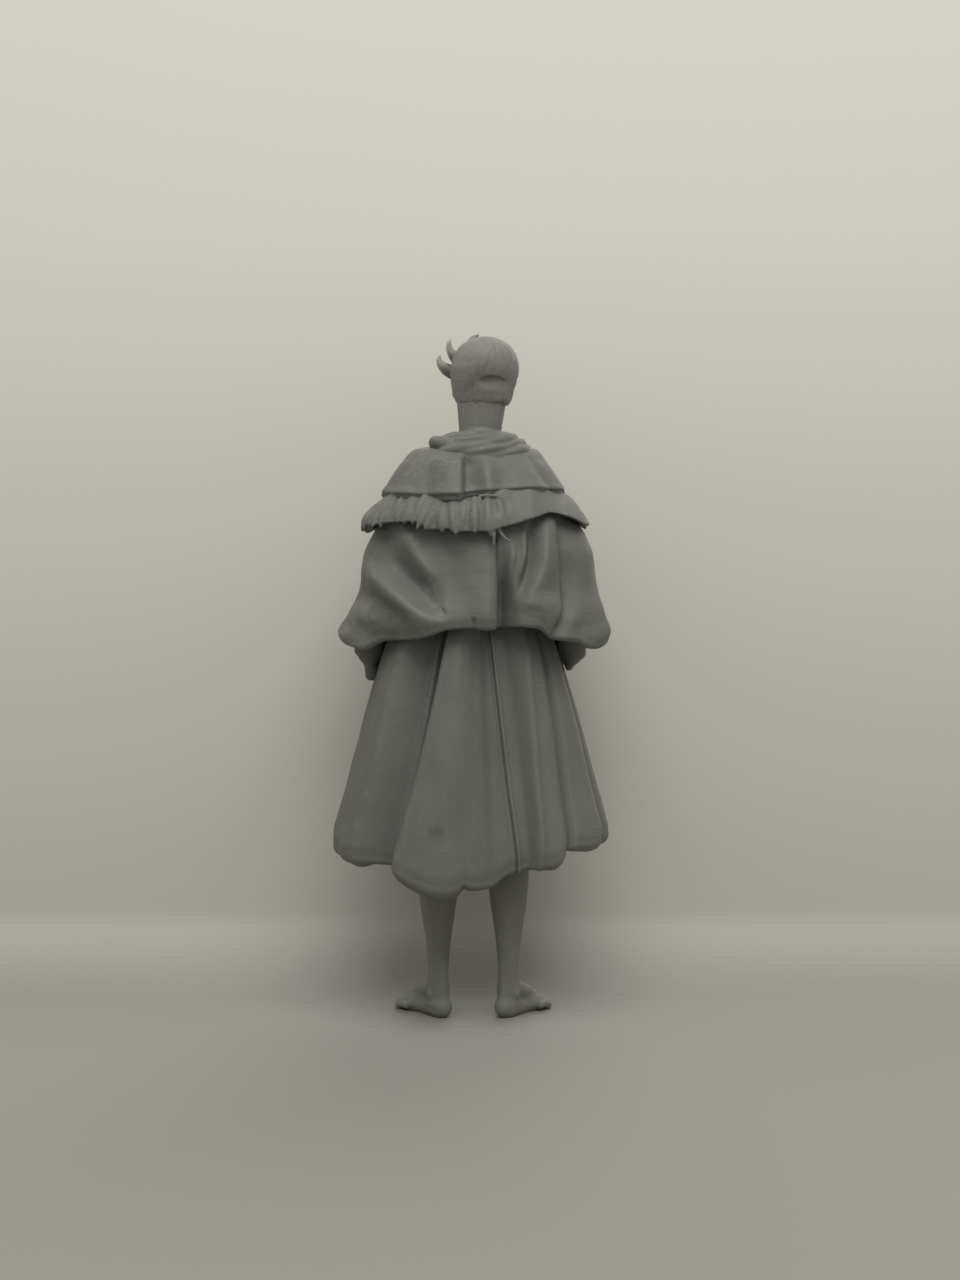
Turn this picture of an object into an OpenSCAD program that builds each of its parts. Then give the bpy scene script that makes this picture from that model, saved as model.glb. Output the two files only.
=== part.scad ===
// Tabletop miniature of a robed, barefoot figure, as a kit of keyed resin pieces.
// The figure stands on +Z and faces -Y. Its soles are at Z = 0.
// Square pegs hold a piece still. Round pegs let the head and the hands turn.

/* [Legs] */
// Height of the hips' underside above the soles
leg_h = 12; // [10:0.1:14.4]
// Distance between the axes of the two legs
stance_w = 3.6; // [3:0.1:4.4]
// Sideways place of the middle between the legs
stance_x = -0.15; // [-0.5:0.05:0.5]
// Front-to-back place of the legs, so that the feet stand under the figure's weight
leg_y = 0.8; // [0.4:0.05:1]
// Angle that each foot is turned out
toe_out = 36; // [20:1:50]
// Length of a foot, heel to toes
foot_l = 4.6; // [3.8:0.1:5.6]
// Width of a foot across its ball
foot_w = 1.7; // [1.4:0.1:2]
// Height of the instep in front of the ankle
instep_h = 1.1; // [0.9:0.05:1.4]
// Radius of an ankle
ankle_r = 0.55; // [0.45:0.05:0.7]
// Radius of a calf
calf_r = 0.95; // [0.8:0.05:1.15]
// Height of the calf's thickest part above the sole
calf_z = 7.2; // [6:0.1:8.6]
// Radius of a thigh where it meets the hips
thigh_r = 1.2; // [1:0.05:1.4]

/* [Hips and skirt] */
// Height of the hip block
hips_h = 7.6; // [6.3:0.1:9.2]
// Half-width of the hip block
hips_rx = 3.3; // [3.1:0.1:3.6]
// Half-depth of the hip block
hips_ry = 2.4; // [2:0.1:2.8]
// Radius of the round spigot on top of the hips
spigot_r = 1.7; // [1.5:0.05:2.1]
// Thickness of the disc that closes the skirt's waist
waist_disc_t = 1; // [0.8:0.1:1.4]
// Length of the skirt from its waist to the hem at its sides
skirt_l = 11.9; // [9.9:0.1:14.3]
// Half-width of the skirt at its waist
waist_rx = 3.7; // [3.5:0.1:4.4]
// Half-depth of the skirt at its waist
waist_ry = 2.9; // [2.7:0.1:3.5]
// Depth below the waist at which the skirt is out over the hips
hip_drop = 1.6; // [1.3:0.1:2]
// Half-width of the skirt over the hips
skirt_hip_rx = 4.6; // [4.4:0.1:5]
// Half-depth of the skirt over the hips
skirt_hip_ry = 3.4; // [3.3:0.1:4]
// Half-width of the skirt at its hem
skirt_hem_rx = 6.95; // [5.8:0.05:8.4]
// Half-depth of the skirt at its hem
skirt_hem_ry = 5.3; // [4.5:0.1:6.4]
// Wall of the skirt
skirt_wall = 0.8; // [0.6:0.05:1]
// How much lower the hem is at the back than at the sides
hem_dip = 1.5; // [1.2:0.1:1.8]
// Number of pleats around the skirt
pleat_n = 12; // [8:2:14]
// Height of a pleat above the skirt's surface
pleat_h = 0.3; // [0.2:0.05:0.4]

/* [Torso and neck] */
// Height of the torso from waist to collar
torso_h = 8.4; // [7:0.1:10.1]
// Half-width of the torso at its waist
torso_rx = 2.6; // [2.2:0.1:2.9]
// Half-depth of the torso at its waist
torso_ry = 2; // [1.7:0.1:2.3]
// Radius of the neck boss that the capes are threaded on
boss_r = 1.5; // [1.35:0.05:1.8]
// Height of the neck boss above the collar
boss_h = 0.9; // [0.8:0.05:1.1]
// Depth of the flat on the boss that keeps the capes from turning
boss_flat = 0.3; // [0.2:0.05:0.4]
// Sideways place of the neck
neck_x = -0.5; // [-0.7:0.05:0.7]
// Front-to-back place of the neck
neck_y = 0.2; // [-0.3:0.05:0.4]

/* [Arms] */
// Depth of the sleeve's square peg below the collar
arm_root = 4; // [3.6:0.1:4.8]
// Depth of the elbow below the collar
elbow_drop = 7.3; // [6.4:0.1:7.9]
// Depth of the wrist below the collar
wrist_drop = 9.8; // [9.2:0.1:10.4]
// Depth of the left sleeve's hanging tip below the collar
left_tip_drop = 11.4; // [11:0.1:12]
// Depth of the right sleeve's hanging tip below the collar
right_tip_drop = 11; // [10.8:0.1:12]
// Radius of the sleeve at the shoulder
sleeve_top_r = 0.65; // [0.6:0.05:0.75]
// Radius of the sleeve at the elbow
elbow_r = 0.7; // [0.6:0.05:0.8]
// Radius of the sleeve's cuff
cuff_r = 0.75; // [0.65:0.05:0.9]
// Radius of the sleeve's hanging tip
tip_r = 0.38; // [0.3:0.02:0.46]
// Length of a hand from the cuff to its fingertips
hand_l = 2.9; // [2.4:0.1:3.5]
// Width of a hand across its palm
hand_w = 1.3; // [1.1:0.1:1.5]
// Thickness of a palm
hand_t = 0.6; // [0.5:0.05:0.7]

/* [Mantle and capes] */
// Length of the mantle from the collar to its hem at the sides
mantle_drop = 9.8; // [8.2:0.1:10.6]
// Half-width of the mantle at its hem
mantle_hem_rx = 7.1; // [6.9:0.1:8.5]
// Half-depth of the mantle at its hem
mantle_hem_ry = 5; // [4.6:0.1:6]
// Half-width of the mantle under the fringe's hem
mantle_mid_rx = 5.7; // [5.5:0.1:6]
// Half-depth of the mantle under the fringe's hem
mantle_mid_ry = 4; // [3.8:0.1:4.4]
// Wall of the mantle
mantle_wall = 0.55; // [0.45:0.05:0.6]
// Thickness of the mantle's top, around the boss
mantle_top_t = 0.45; // [0.35:0.05:0.55]
// How much higher the mantle's hem is at the front, over the forearms
mantle_front_lift = 2.5; // [1.8:0.1:3]
// How much higher the mantle's hem is at the back
mantle_back_lift = 0.6; // [0:0.1:1]
// Sideways place of the seam between the mantle's halves
seam_x = -1.3; // [-1.5:0.1:1.5]
// Depth of the fringe's upper edge below the collar
fringe_top = 1.5; // [1.3:0.1:1.8]
// Depth of the fringe's hem below the collar at the sides
fringe_drop = 3.5; // [3.3:0.1:3.7]
// How much lower the fringe hangs at the back
fringe_dip = 0.9; // [0.5:0.1:1.1]
// Thickness of the fringe at its hem
fringe_wall = 0.5; // [0.4:0.05:0.6]
// Height of the capelet's neck edge above the collar
capelet_rise = 0.3; // [0.2:0.05:0.4]
// Depth of the capelet's hem below the collar at the sides
capelet_drop = 2.2; // [2:0.1:2.4]
// How much lower the capelet hangs at the back
capelet_dip = 0.5; // [0.2:0.1:0.7]
// Wall of the capelet
capelet_wall = 0.42; // [0.35:0.01:0.5]
// Radius from the neck's axis to the middle of the scarf's lower roll
scarf_ring_r = 1.9; // [1.8:0.05:2.2]
// Radius of the scarf's lower roll
scarf_roll_r = 0.52; // [0.45:0.01:0.6]

/* [Head] */
// Radius of the neck
neck_r = 1.15; // [1:0.05:1.25]
// Height of the chin above the boss
chin_h = 0.95; // [0.85:0.05:1.1]
// Height of the skull, chin to crown, without hair
skull_h = 3.9; // [3.6:0.1:4.4]
// Width of the skull
skull_w = 3; // [2.7:0.1:3.3]
// Depth of the skull, face to back
skull_d = 3.6; // [3.2:0.1:4]
// Thickness of the hair
hair_t = 0.28; // [0.2:0.02:0.36]
// Sideways lean of the head off the neck
head_lean = -0.2; // [-0.3:0.05:0.3]
// Radius of the neck's round peg
neck_peg_r = 0.75; // [0.6:0.05:0.9]
// Length of the neck's round peg
neck_peg_l = 2.2; // [1.8:0.1:2.6]

/* [Fits] */
// Gap between glued faces that nest in each other
seat_gap = 0.06; // [0.04:0.01:0.1]
// Gap around a round peg that turns
turn_gap = 0.05; // [0.03:0.01:0.08]
// Gap between the sleeves and the pieces they hang beside
drape_gap = 0.25; // [0.2:0.01:0.3]
// Side of the square pegs of the legs and sleeves
peg_w = 0.9; // [0.8:0.05:1]
// Length of the square pegs of the legs and sleeves
peg_l = 1.6; // [1.3:0.1:1.9]
// Side of the square tenon under the torso
tenon_w = 1.8; // [1.5:0.1:2]
// Length of the square tenon under the torso
tenon_l = 2.6; // [2.2:0.1:3.1]
// Radius of a wrist's round peg
wrist_peg_r = 0.34; // [0.28:0.02:0.4]
// Length of a wrist's round peg
wrist_peg_l = 1.1; // [0.9:0.1:1.3]

/* [Hidden] */

resin = "#7b7a74";
sides = 40;
ball_fn = 20;
bore_fn = 48;
reach = 100;
overlap = 0.02;

z_hips = leg_h;
z_waist = z_hips + hips_h;
z_torso = z_waist + waist_disc_t;
z_collar = z_torso + torso_h;
z_boss = z_collar + boss_h;
z_chin = z_boss + chin_h;
z_skirt_hem = z_torso - skirt_l;

// Outlines as rows of [depth, half-width, half-depth]
skirt_outline = [[0, waist_rx, waist_ry], [hip_drop, skirt_hip_rx, skirt_hip_ry],
                 [skirt_l, skirt_hem_rx, skirt_hem_ry]];
collar_rx = boss_r + 0.6;
slope_depth = 0.9;
shoulder_depth = 2.4;
shoulder_rx = 4.2;
shoulder_ry = 3.2;
mid_depth = fringe_drop + fringe_dip;
mantle_outline = [[0, collar_rx, collar_rx], [slope_depth, 3.15, 2.6],
                  [shoulder_depth, shoulder_rx, shoulder_ry],
                  [mid_depth, mantle_mid_rx, mantle_mid_ry],
                  [mantle_drop, mantle_hem_rx, mantle_hem_ry]];

function column(rows, c) = [for (row = rows) [row[0], row[c]]];
function half_w(outline, d) = lookup(d, column(outline, 1));
function half_d(outline, d) = lookup(d, column(outline, 2));

// Share of a turn towards the back or the front: 1 there, 0 at the sides
function back(a) = max(0, sin(a));
function front(a) = max(0, -sin(a));

// A ring of points, with the size and height given at each angle
function ring(rx, ry, z, grow = 0) = [for (i = [0:sides - 1]) let (a = 360 * i / sides)
    [(rx + grow) * cos(a), (ry + grow) * sin(a), z]];
function ring_at_neck(r, z) = [for (p = ring(r, r, z)) p + [neck_x, neck_y, 0]];

// Skirt sizes at a height, so that the arms clear it
function skirt_rx(z) = half_w(skirt_outline, z_torso - z) + pleat_h;
function skirt_ry(z) = half_d(skirt_outline, z_torso - z) + pleat_h;
function beside_skirt(z, a, gap) = [(skirt_rx(z) + gap) * cos(a), (skirt_ry(z) + gap) * sin(a), z];

// The left arm's points. The right arm mirrors them
elbow_angle = 6;
elbow_room = 1;
elbow = beside_skirt(z_collar - elbow_drop, elbow_angle, elbow_room);
wrist_angle = -53;
wrist_room = cuff_r + 2 * drape_gap;
wrist = beside_skirt(z_collar - wrist_drop, wrist_angle, wrist_room);
tip_angle = -20;
bag_angle = -8;
bag_r = 0.45;
bag = beside_skirt(z_collar - wrist_drop, bag_angle, 2 * bag_r);
function tip(drop) = beside_skirt(z_collar - drop + tip_r, tip_angle, tip_r + 1.5 * drape_gap);
forearm = wrist - elbow;
forearm_l = norm(forearm);

// Faces of a stack of rings: the sides, then a cap at each end
function walls(n, wrap) = [for (i = [0:n - (wrap ? 1 : 2)], j = [0:sides - 1], half = [0, 1])
    let (a = i * sides, b = ((i + 1) % n) * sides, k = (j + 1) % sides)
    half == 0 ? [a + j, b + j, b + k] : [a + j, b + k, a + k]];
function caps(n) = [[for (j = [0:sides - 1]) j],
                    [for (j = [0:sides - 1]) n * sides - 1 - j]];

// A solid through rings from bottom to top, each of them level
module loft(rings)
    polyhedron([for (r = rings) each r], concat(walls(len(rings), false), caps(len(rings))));

// A hollow solid of revolution-like form: rings up the outside, then down the inside
module band(rings)
    polyhedron([for (r = rings) each r], walls(len(rings), true));

// Children with their Z axis turned from a towards b, starting at a
module aim(a, b) {
    d = b - a;
    translate(a) rotate([0, acos(d[2] / norm(d)), atan2(d[1], d[0])]) children();
}

module ball(p, r) translate(p) sphere(r, $fn = ball_fn);
module limb(a, ra, b, rb) hull() {
    ball(a, ra);
    ball(b, rb);
}
module square_peg(w, l) translate([-w / 2, -w / 2, 0]) cube([w, w, l]);
module mirrored(right) mirror([right ? 1 : 0, 0, 0]) children();

// The key flat on the front of the boss, and of every hole that fits it
module boss_outline(r, gap) difference() {
    circle(r + gap, $fn = bore_fn);
    translate([-reach / 2, -reach - r + boss_flat - gap]) square(reach);
}
module boss_hole() translate([neck_x, neck_y, -reach])
    linear_extrude(2 * reach) boss_outline(boss_r, seat_gap);

// Hip block: carries both legs, and the skirt's disc on its spigot
module hips() color(resin) difference() {
    union() {
        loft([ring(hips_rx, hips_ry, z_hips), ring(hips_rx, hips_ry, z_waist - hips_h / 3),
              ring(waist_rx - skirt_wall - drape_gap, waist_ry - skirt_wall - drape_gap, z_waist)]);
        translate([0, 0, z_waist - overlap]) linear_extrude(waist_disc_t + overlap)
            spigot_outline(0);
    }
    translate([0, 0, z_torso - tenon_l - seat_gap])
        square_peg(tenon_w + 2 * seat_gap, tenon_l + 2 * seat_gap);
    for (side = [-1, 1]) translate([leg_x(side), leg_y, z_hips - overlap])
        square_peg(peg_w + 2 * seat_gap, peg_l + seat_gap);
}
spigot_flat = 0.3;
module spigot_outline(gap) difference() {
    circle(spigot_r + gap, $fn = bore_fn);
    translate([-reach / 2, -reach - spigot_r + spigot_flat - gap]) square(reach);
}

// Skirt: a pleated bell, closed at its waist by a disc that sits on the hips
function pleated(points, h) = [for (i = [0:sides - 1]) let (a = 360 * i / sides)
    points[i] + h * (1 + cos(pleat_n * a)) / 2 * [cos(a), sin(a), 0]];
function hem_sag(points) = [for (i = [0:sides - 1]) let (a = 360 * i / sides)
    points[i] - [0, 0, hem_dip * back(a)]];
skirt_steps = 5;
function skirt_ring(d, grow, pleat) = pleated(ring(half_w(skirt_outline, d),
    half_d(skirt_outline, d), z_torso - d, grow), pleat);
module skirt() color(resin) difference() {
    band([
        hem_sag(skirt_ring(skirt_l, 0, pleat_h)),
        for (i = [skirt_steps - 1:-1:1])
            skirt_ring(hip_drop + (skirt_l - hip_drop) * i / skirt_steps, 0, pleat_h),
        skirt_ring(hip_drop, 0, pleat_h),
        skirt_ring(0, 0, 0),
        ring(spigot_r / 2, spigot_r / 2, z_torso),
        ring(spigot_r / 2, spigot_r / 2, z_waist),
        skirt_ring(waist_disc_t, -skirt_wall, 0),
        skirt_ring(hip_drop, -skirt_wall, 0),
        hem_sag(skirt_ring(skirt_l, -skirt_wall, 0))]);
    translate([0, 0, z_waist - reach / 2]) linear_extrude(reach) spigot_outline(seat_gap);
}

// Leg: thigh, calf and bare foot, with a square peg into the hips
function leg_x(side) = stance_x + side * stance_w / 2;
heel_r = foot_w * 0.36;
toe_r = foot_w * 0.3;
heel_back = foot_l * 0.27;
ankle_z = 2;
module foot(side) rotate(side * toe_out) difference() {
    front_y = heel_back - foot_l + toe_r;
    ball_y = front_y + foot_l * 0.2;
    spread = foot_w / 2 - toe_r;
    heel = [0, heel_back - heel_r, heel_r * 0.5];
    union() {
        hull() {
            ball(heel, heel_r);
            ball([spread, ball_y, toe_r * 0.5], toe_r);
            ball([-spread, ball_y, toe_r * 0.5], toe_r);
            ball([-side * spread * 0.6, front_y, toe_r * 0.4], toe_r);
            ball([side * spread, front_y + toe_r, toe_r * 0.4], toe_r * 0.9);
        }
        hull() {
            ball([0, 0, ankle_z], ankle_r);
            ball(heel, heel_r);
            ball([-side * spread * 0.4, ball_y + foot_l * 0.28, instep_h - toe_r], toe_r);
        }
    }
    translate([0, 0, -reach / 2]) cube(reach, center = true);
}
module leg(side) color(resin) translate([leg_x(side), leg_y, 0]) {
    foot(side);
    limb([0, 0, ankle_z], ankle_r, [0, calf_r - ankle_r, calf_z], calf_r);
    hull() {
        ball([0, calf_r - ankle_r, calf_z], calf_r);
        translate([0, 0, z_hips - overlap]) cylinder(overlap, thigh_r, thigh_r, $fn = ball_fn);
    }
    translate([0, 0, z_hips - overlap]) square_peg(peg_w, peg_l + overlap);
}

// Torso: the core that every upper piece is hung on
module torso() color(resin) difference() {
    union() {
        loft([
            ring(torso_rx, torso_ry, z_torso),
            ring(torso_rx, torso_ry, z_collar - arm_root - peg_w),
            ring(chest_rx(), chest_ry(), z_collar - arm_root + peg_w),
            under_mantle(shoulder_depth),
            under_mantle(slope_depth),
            under_mantle(mantle_top_t)]);
        translate([neck_x, neck_y, z_collar - mantle_top_t - overlap])
            linear_extrude(boss_h + mantle_top_t + overlap) boss_outline(boss_r, 0);
        translate([0, 0, z_torso - tenon_l]) square_peg(tenon_w, tenon_l + overlap);
    }
    translate([neck_x, neck_y, z_boss - neck_peg_l - turn_gap])
        cylinder(reach, neck_peg_r + turn_gap, neck_peg_r + turn_gap, $fn = bore_fn);
    for (right = [false, true]) mirrored(right) arm_socket();
}
function chest_rx() = shoulder_rx - mantle_wall - seat_gap - 0.3;
function chest_ry() = shoulder_ry - mantle_wall - seat_gap - 0.3;
function under_mantle(d) = mantle_ring(d, -mantle_wall - seat_gap);
arm_x = torso_rx + 0.5;
module arm_socket() translate([arm_x - peg_l, 0, z_collar - arm_root]) rotate([0, 90, 0])
    square_peg(peg_w + 2 * seat_gap, reach);

// Sleeve: upper arm, forearm and the tip that hangs from them, with a bore for the wrist
module sleeve(right) color(resin) mirrored(right) difference() {
    union() {
        root = [arm_x + sleeve_top_r + 0.15, 0, z_collar - arm_root];
        limb(root, sleeve_top_r, elbow, elbow_r);
        limb(elbow, elbow_r, wrist, cuff_r);
        hull() {
            ball(elbow + 0.2 * forearm, elbow_r * 0.7);
            ball(elbow + 0.45 * forearm, elbow_r * 0.7);
            ball(bag, bag_r);
            ball(tip(right ? right_tip_drop : left_tip_drop), tip_r);
        }
        translate([arm_x - peg_l + seat_gap, 0, root[2]]) rotate([0, 90, 0])
            square_peg(peg_w, peg_l + 0.5);
    }
    aim(wrist, wrist + forearm) cylinder(reach, cuff_r * 2, cuff_r * 2, $fn = bore_fn);
    aim(wrist, wrist + forearm) translate([0, 0, -wrist_peg_l - turn_gap])
        cylinder(reach, wrist_peg_r + turn_gap, wrist_peg_r + turn_gap, $fn = bore_fn);
}

// Hand: a relaxed open hand that droops from a round wrist peg
hand_droop = [-0.3, 0.25, -0.62];
module hand(right) color(resin) mirrored(right) {
    along = forearm / forearm_l;
    aimed = along + hand_droop;
    reach_dir = aimed / norm(aimed);
    across = cross(reach_dir, [1, 0, 0]) / norm(cross(reach_dir, [1, 0, 0]));
    start = wrist + along * turn_gap;
    heel = start + along * hand_t;
    knuckles = heel + reach_dir * hand_l * 0.4;
    tips = heel + reach_dir * (hand_l - hand_t);
    half_palm = (hand_w - hand_t) / 2;
    aim(start - along * wrist_peg_l, wrist)
        cylinder(wrist_peg_l + hand_t, wrist_peg_r, wrist_peg_r, $fn = bore_fn);
    hull() {
        ball(heel, hand_t * 0.55);
        ball(knuckles + across * half_palm, hand_t / 2);
        ball(knuckles - across * half_palm, hand_t / 2);
    }
    hull() {
        ball(knuckles + across * half_palm, hand_t * 0.42);
        ball(knuckles - across * half_palm, hand_t * 0.42);
        ball(tips + across * half_palm * 0.7, hand_t * 0.3);
        ball(tips - across * half_palm * 0.7, hand_t * 0.3);
    }
    limb(heel + across * half_palm, hand_t * 0.4, knuckles + across * hand_w * 0.75, hand_t * 0.3);
}

// Mantle: a bell over the torso and arms, in two halves that meet at the seam
function to_neck(d) = lookup(d, [[0, 1], [shoulder_depth, 0]]) * [neck_x, neck_y, 0];
function mantle_ring(d, grow) = [for (p = ring(half_w(mantle_outline, d), half_d(mantle_outline, d),
    z_collar - d, grow)) p + to_neck(d)];
function draped(d, back_dip, front_dip, grow) = [for (i = [0:sides - 1]) let (a = 360 * i / sides,
    low = d + back_dip * back(a) + front_dip * front(a)) mantle_ring(low, grow)[i]];
function mantle_hem(grow) = draped(mantle_drop, -mantle_back_lift, -mantle_front_lift, grow);
module mantle() difference() {
    band([
        mantle_hem(0),
        for (d = [mid_depth, shoulder_depth, slope_depth, 0]) mantle_ring(d, 0),
        ring_at_neck(boss_r / 2, z_collar),
        ring_at_neck(boss_r / 2, z_collar - mantle_top_t),
        for (d = [mantle_top_t, slope_depth, shoulder_depth, mid_depth]) mantle_ring(d, -mantle_wall),
        mantle_hem(-mantle_wall)]);
    boss_hole();
}
module mantle_half(side) color(resin) intersection() {
    mantle();
    translate([seam_x + side * (reach + seat_gap) / 2, 0, z_collar - reach / 2])
        cube(reach, center = true);
}

// Fringe: a ragged band over the mantle's shoulders
function fringe_grow(d) = seat_gap + lookup(d, [[fringe_top, fringe_wall * 0.6],
                                                [fringe_drop, fringe_wall]]);
fringe_levels = [fringe_top, shoulder_depth, fringe_drop];
module fringe() color(resin) band([
    for (i = [2:-1:0]) fringe_ring(fringe_levels[i], fringe_grow(fringe_levels[i])),
    for (i = [0:2]) fringe_ring(fringe_levels[i], seat_gap)]);
function fringe_ring(d, grow) = draped(d, d < fringe_drop ? 0 : fringe_dip, 0, grow);

// Capelet: the upper cape, over the fringe and around the boss
function capelet_inner(d) = d < fringe_top ? seat_gap : fringe_grow(d + capelet_dip) + seat_gap;
capelet_levels = [slope_depth, fringe_top, capelet_drop];
function capelet_ring(d, grow) = draped(d, d < capelet_drop ? 0 : capelet_dip, 0, grow);
module capelet() color(resin) difference() {
    z_top = z_collar + capelet_rise;
    band([
        for (i = [2:-1:0]) capelet_ring(capelet_levels[i],
            capelet_inner(capelet_levels[i]) + capelet_wall),
        [for (p = mantle_ring(slope_depth, 0)) [p[0], p[1], z_top]],
        ring_at_neck(boss_r / 2, z_top),
        ring_at_neck(boss_r / 2, z_collar),
        mantle_ring(0, 0),
        for (i = [0:2]) capelet_ring(capelet_levels[i], capelet_inner(capelet_levels[i]))]);
    boss_hole();
}

// Scarf: two wrapped rolls that sit on the capelet, around the boss
upper_roll_r = scarf_roll_r * 0.85;
module roll(r, z, tilt) translate([neck_x, neck_y, z]) rotate([0, tilt, 0])
    rotate_extrude($fn = bore_fn) translate([scarf_ring_r - (scarf_roll_r - r), 0])
        circle(r, $fn = ball_fn);
scarf_tilt = 4;
module scarf() color(resin) {
    z_seat = z_collar + capelet_rise;
    difference() {
        union() {
            roll(scarf_roll_r, z_seat + scarf_roll_r * 0.7, 0);
            roll(upper_roll_r, z_seat + scarf_roll_r * 1.15, scarf_tilt);
        }
        translate([0, 0, z_seat - reach / 2]) cube(reach, center = true);
        boss_hole();
        translate([neck_x, neck_y, z_boss])
            cylinder(reach, boss_r + seat_gap, boss_r + seat_gap, $fn = bore_fn);
    }
}

// Head: skull, jaw and neck, with a round peg into the boss
head_c = [neck_x + head_lean, neck_y - 0.35, z_chin + skull_h - skull_w / 2];
crown_r = skull_w / 2;
skull_back = skull_d - 2 * crown_r;
jaw_r = skull_w * 0.25;
module skull(grow) hull() {
    ball(head_c, crown_r + grow);
    ball(head_c + [0, skull_back * 0.7, -0.1], crown_r + grow);
    ball([head_c[0], head_c[1] - crown_r + jaw_r, z_chin + jaw_r], jaw_r + grow);
}
module head() color(resin) {
    skull(0);
    translate([neck_x, neck_y, z_boss + turn_gap])
        cylinder(head_c[2] - z_boss - turn_gap, neck_r, neck_r, $fn = bore_fn);
    translate([neck_x, neck_y, z_boss + turn_gap - neck_peg_l])
        cylinder(neck_peg_l + overlap, neck_peg_r, neck_peg_r, $fn = bore_fn);
}

// Hair: a cap over the crown and nape, with curled locks at the left temple
lock_r = 0.24;
module lock(root, bend, end) {
    limb(root, lock_r, bend, lock_r * 0.9);
    limb(bend, lock_r * 0.9, end, lock_r * 0.35);
}
module hair() color(resin) difference() {
    side = crown_r + hair_t * 0.8;
    union() {
        difference() {
            skull(hair_t);
            translate(head_c + [0, -reach / 2 - crown_r * 0.35, -reach / 2 + crown_r * 0.45])
                cube(reach, center = true);
            translate([0, 0, z_chin + jaw_r * 0.9 - reach / 2]) cube(reach, center = true);
        }
        lock(head_c + [side * 0.95, -0.3, 0], head_c + [side + 0.4, -0.4, 0.25],
             head_c + [side + 0.5, -0.45, 0.8]);
        lock(head_c + [side * 0.85, -0.45, 0.7], head_c + [side + 0.05, -0.6, 1.05],
             head_c + [side * 0.95, -0.7, 1.55]);
    }
    skull(seat_gap);
    translate([neck_x, neck_y, z_boss])
        cylinder(head_c[2] - z_boss, neck_r + seat_gap, neck_r + seat_gap, $fn = bore_fn);
}

torso();
hips();
skirt();
leg(1);  // left_leg
leg(-1);  // right_leg
sleeve(false);  // left_sleeve
sleeve(true);  // right_sleeve
hand(false);  // left_hand
hand(true);  // right_hand
mantle_half(1);  // mantle_left
mantle_half(-1);  // mantle_right
fringe();
capelet();
scarf();
head();
hair();
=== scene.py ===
import math

import bpy
import numpy as np
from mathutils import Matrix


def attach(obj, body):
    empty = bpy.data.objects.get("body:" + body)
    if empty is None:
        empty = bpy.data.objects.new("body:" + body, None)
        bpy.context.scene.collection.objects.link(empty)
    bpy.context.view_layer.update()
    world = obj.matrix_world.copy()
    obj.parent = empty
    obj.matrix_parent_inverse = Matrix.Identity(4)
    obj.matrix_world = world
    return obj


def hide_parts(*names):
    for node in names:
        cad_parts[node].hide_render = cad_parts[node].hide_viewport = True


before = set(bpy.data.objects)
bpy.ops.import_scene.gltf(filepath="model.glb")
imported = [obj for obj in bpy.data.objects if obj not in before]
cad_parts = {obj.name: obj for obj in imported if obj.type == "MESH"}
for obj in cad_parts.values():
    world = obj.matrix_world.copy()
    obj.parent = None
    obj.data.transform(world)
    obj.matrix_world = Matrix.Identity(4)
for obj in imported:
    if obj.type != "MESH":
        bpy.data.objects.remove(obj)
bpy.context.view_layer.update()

import openvdb
from mathutils import Vector

MM = 0.001
rng = np.random.default_rng(11)
scene = bpy.context.scene
scene.view_settings.view_transform = "Standard"

# Sign of X on each side
SIGN = {"left": 1, "right": -1}
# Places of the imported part, in millimetres
Z_WAIST = 20.6
Z_COLLAR = 29.0
NECK = np.array([-0.5, 0.2, 29.9])
HEAD = np.array([-0.7, -0.15, 33.25])
LEG_X = {"left": 1.65, "right": -1.95}
LEG_Y = 0.8
WRIST = np.array([3.633, -3.903, 19.2])
FOREARM = np.array([-0.258202, -0.837248, -0.482025])


# Small maths

def step(x, low, high):
    """0 below low, 1 above high, smooth between."""
    t = np.clip((x - low) / (high - low), 0, 1)
    return t * t * (3 - 2 * t)


def bump(x, centre, width):
    return np.exp(-(((x - centre) / width) ** 2))


def curve(x, points):
    """Smooth look-up through the points, with no overshoot."""
    xs, ys = (np.array(v, float) for v in zip(*points))
    gaps = np.diff(xs)
    rise = np.diff(ys) / gaps
    same = rise[:-1] * rise[1:] > 0
    total = np.where(same, rise[:-1] + rise[1:], 1)
    slope = np.concatenate([rise[:1], np.where(same, 2 * rise[:-1] * rise[1:] / total, 0), rise[-1:]])
    i = np.clip(np.searchsorted(xs, x) - 1, 0, len(xs) - 2)
    t = np.clip((x - xs[i]) / gaps[i], 0, 1)
    a, b = t * t * (3 - 2 * t), t * (1 - t)
    return ys[i] * (1 - a) + ys[i + 1] * a + gaps[i] * b * ((1 - t) * slope[i] - t * slope[i + 1])


def radii(level, rows):
    """Half-axes along X and Y at a level, from rows of (level, along X, along Y)."""
    levels, *axes = zip(*rows)
    return [curve(level, list(zip(levels, axis))) for axis in axes]


def unit(v):
    return np.asarray(v, float) / np.linalg.norm(v)


def noise(p, scale, seed):
    """Smooth noise in -1..1 at points p [..., 3], with cells of the given size."""
    cells = np.random.default_rng(seed).random((16, 16, 16)).astype(np.float32) * 2 - 1
    q = np.asarray(p, np.float32) / scale
    base = np.floor(q).astype(int)
    f = q - base
    f = f * f * (3 - 2 * f)
    total = 0
    for corner in np.ndindex(2, 2, 2):
        w = np.prod([f[..., k] if corner[k] else 1 - f[..., k] for k in range(3)], axis=0)
        total = total + w * cells[tuple((base[..., k] + corner[k]) % 16 for k in range(3))]
    return total


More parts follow.
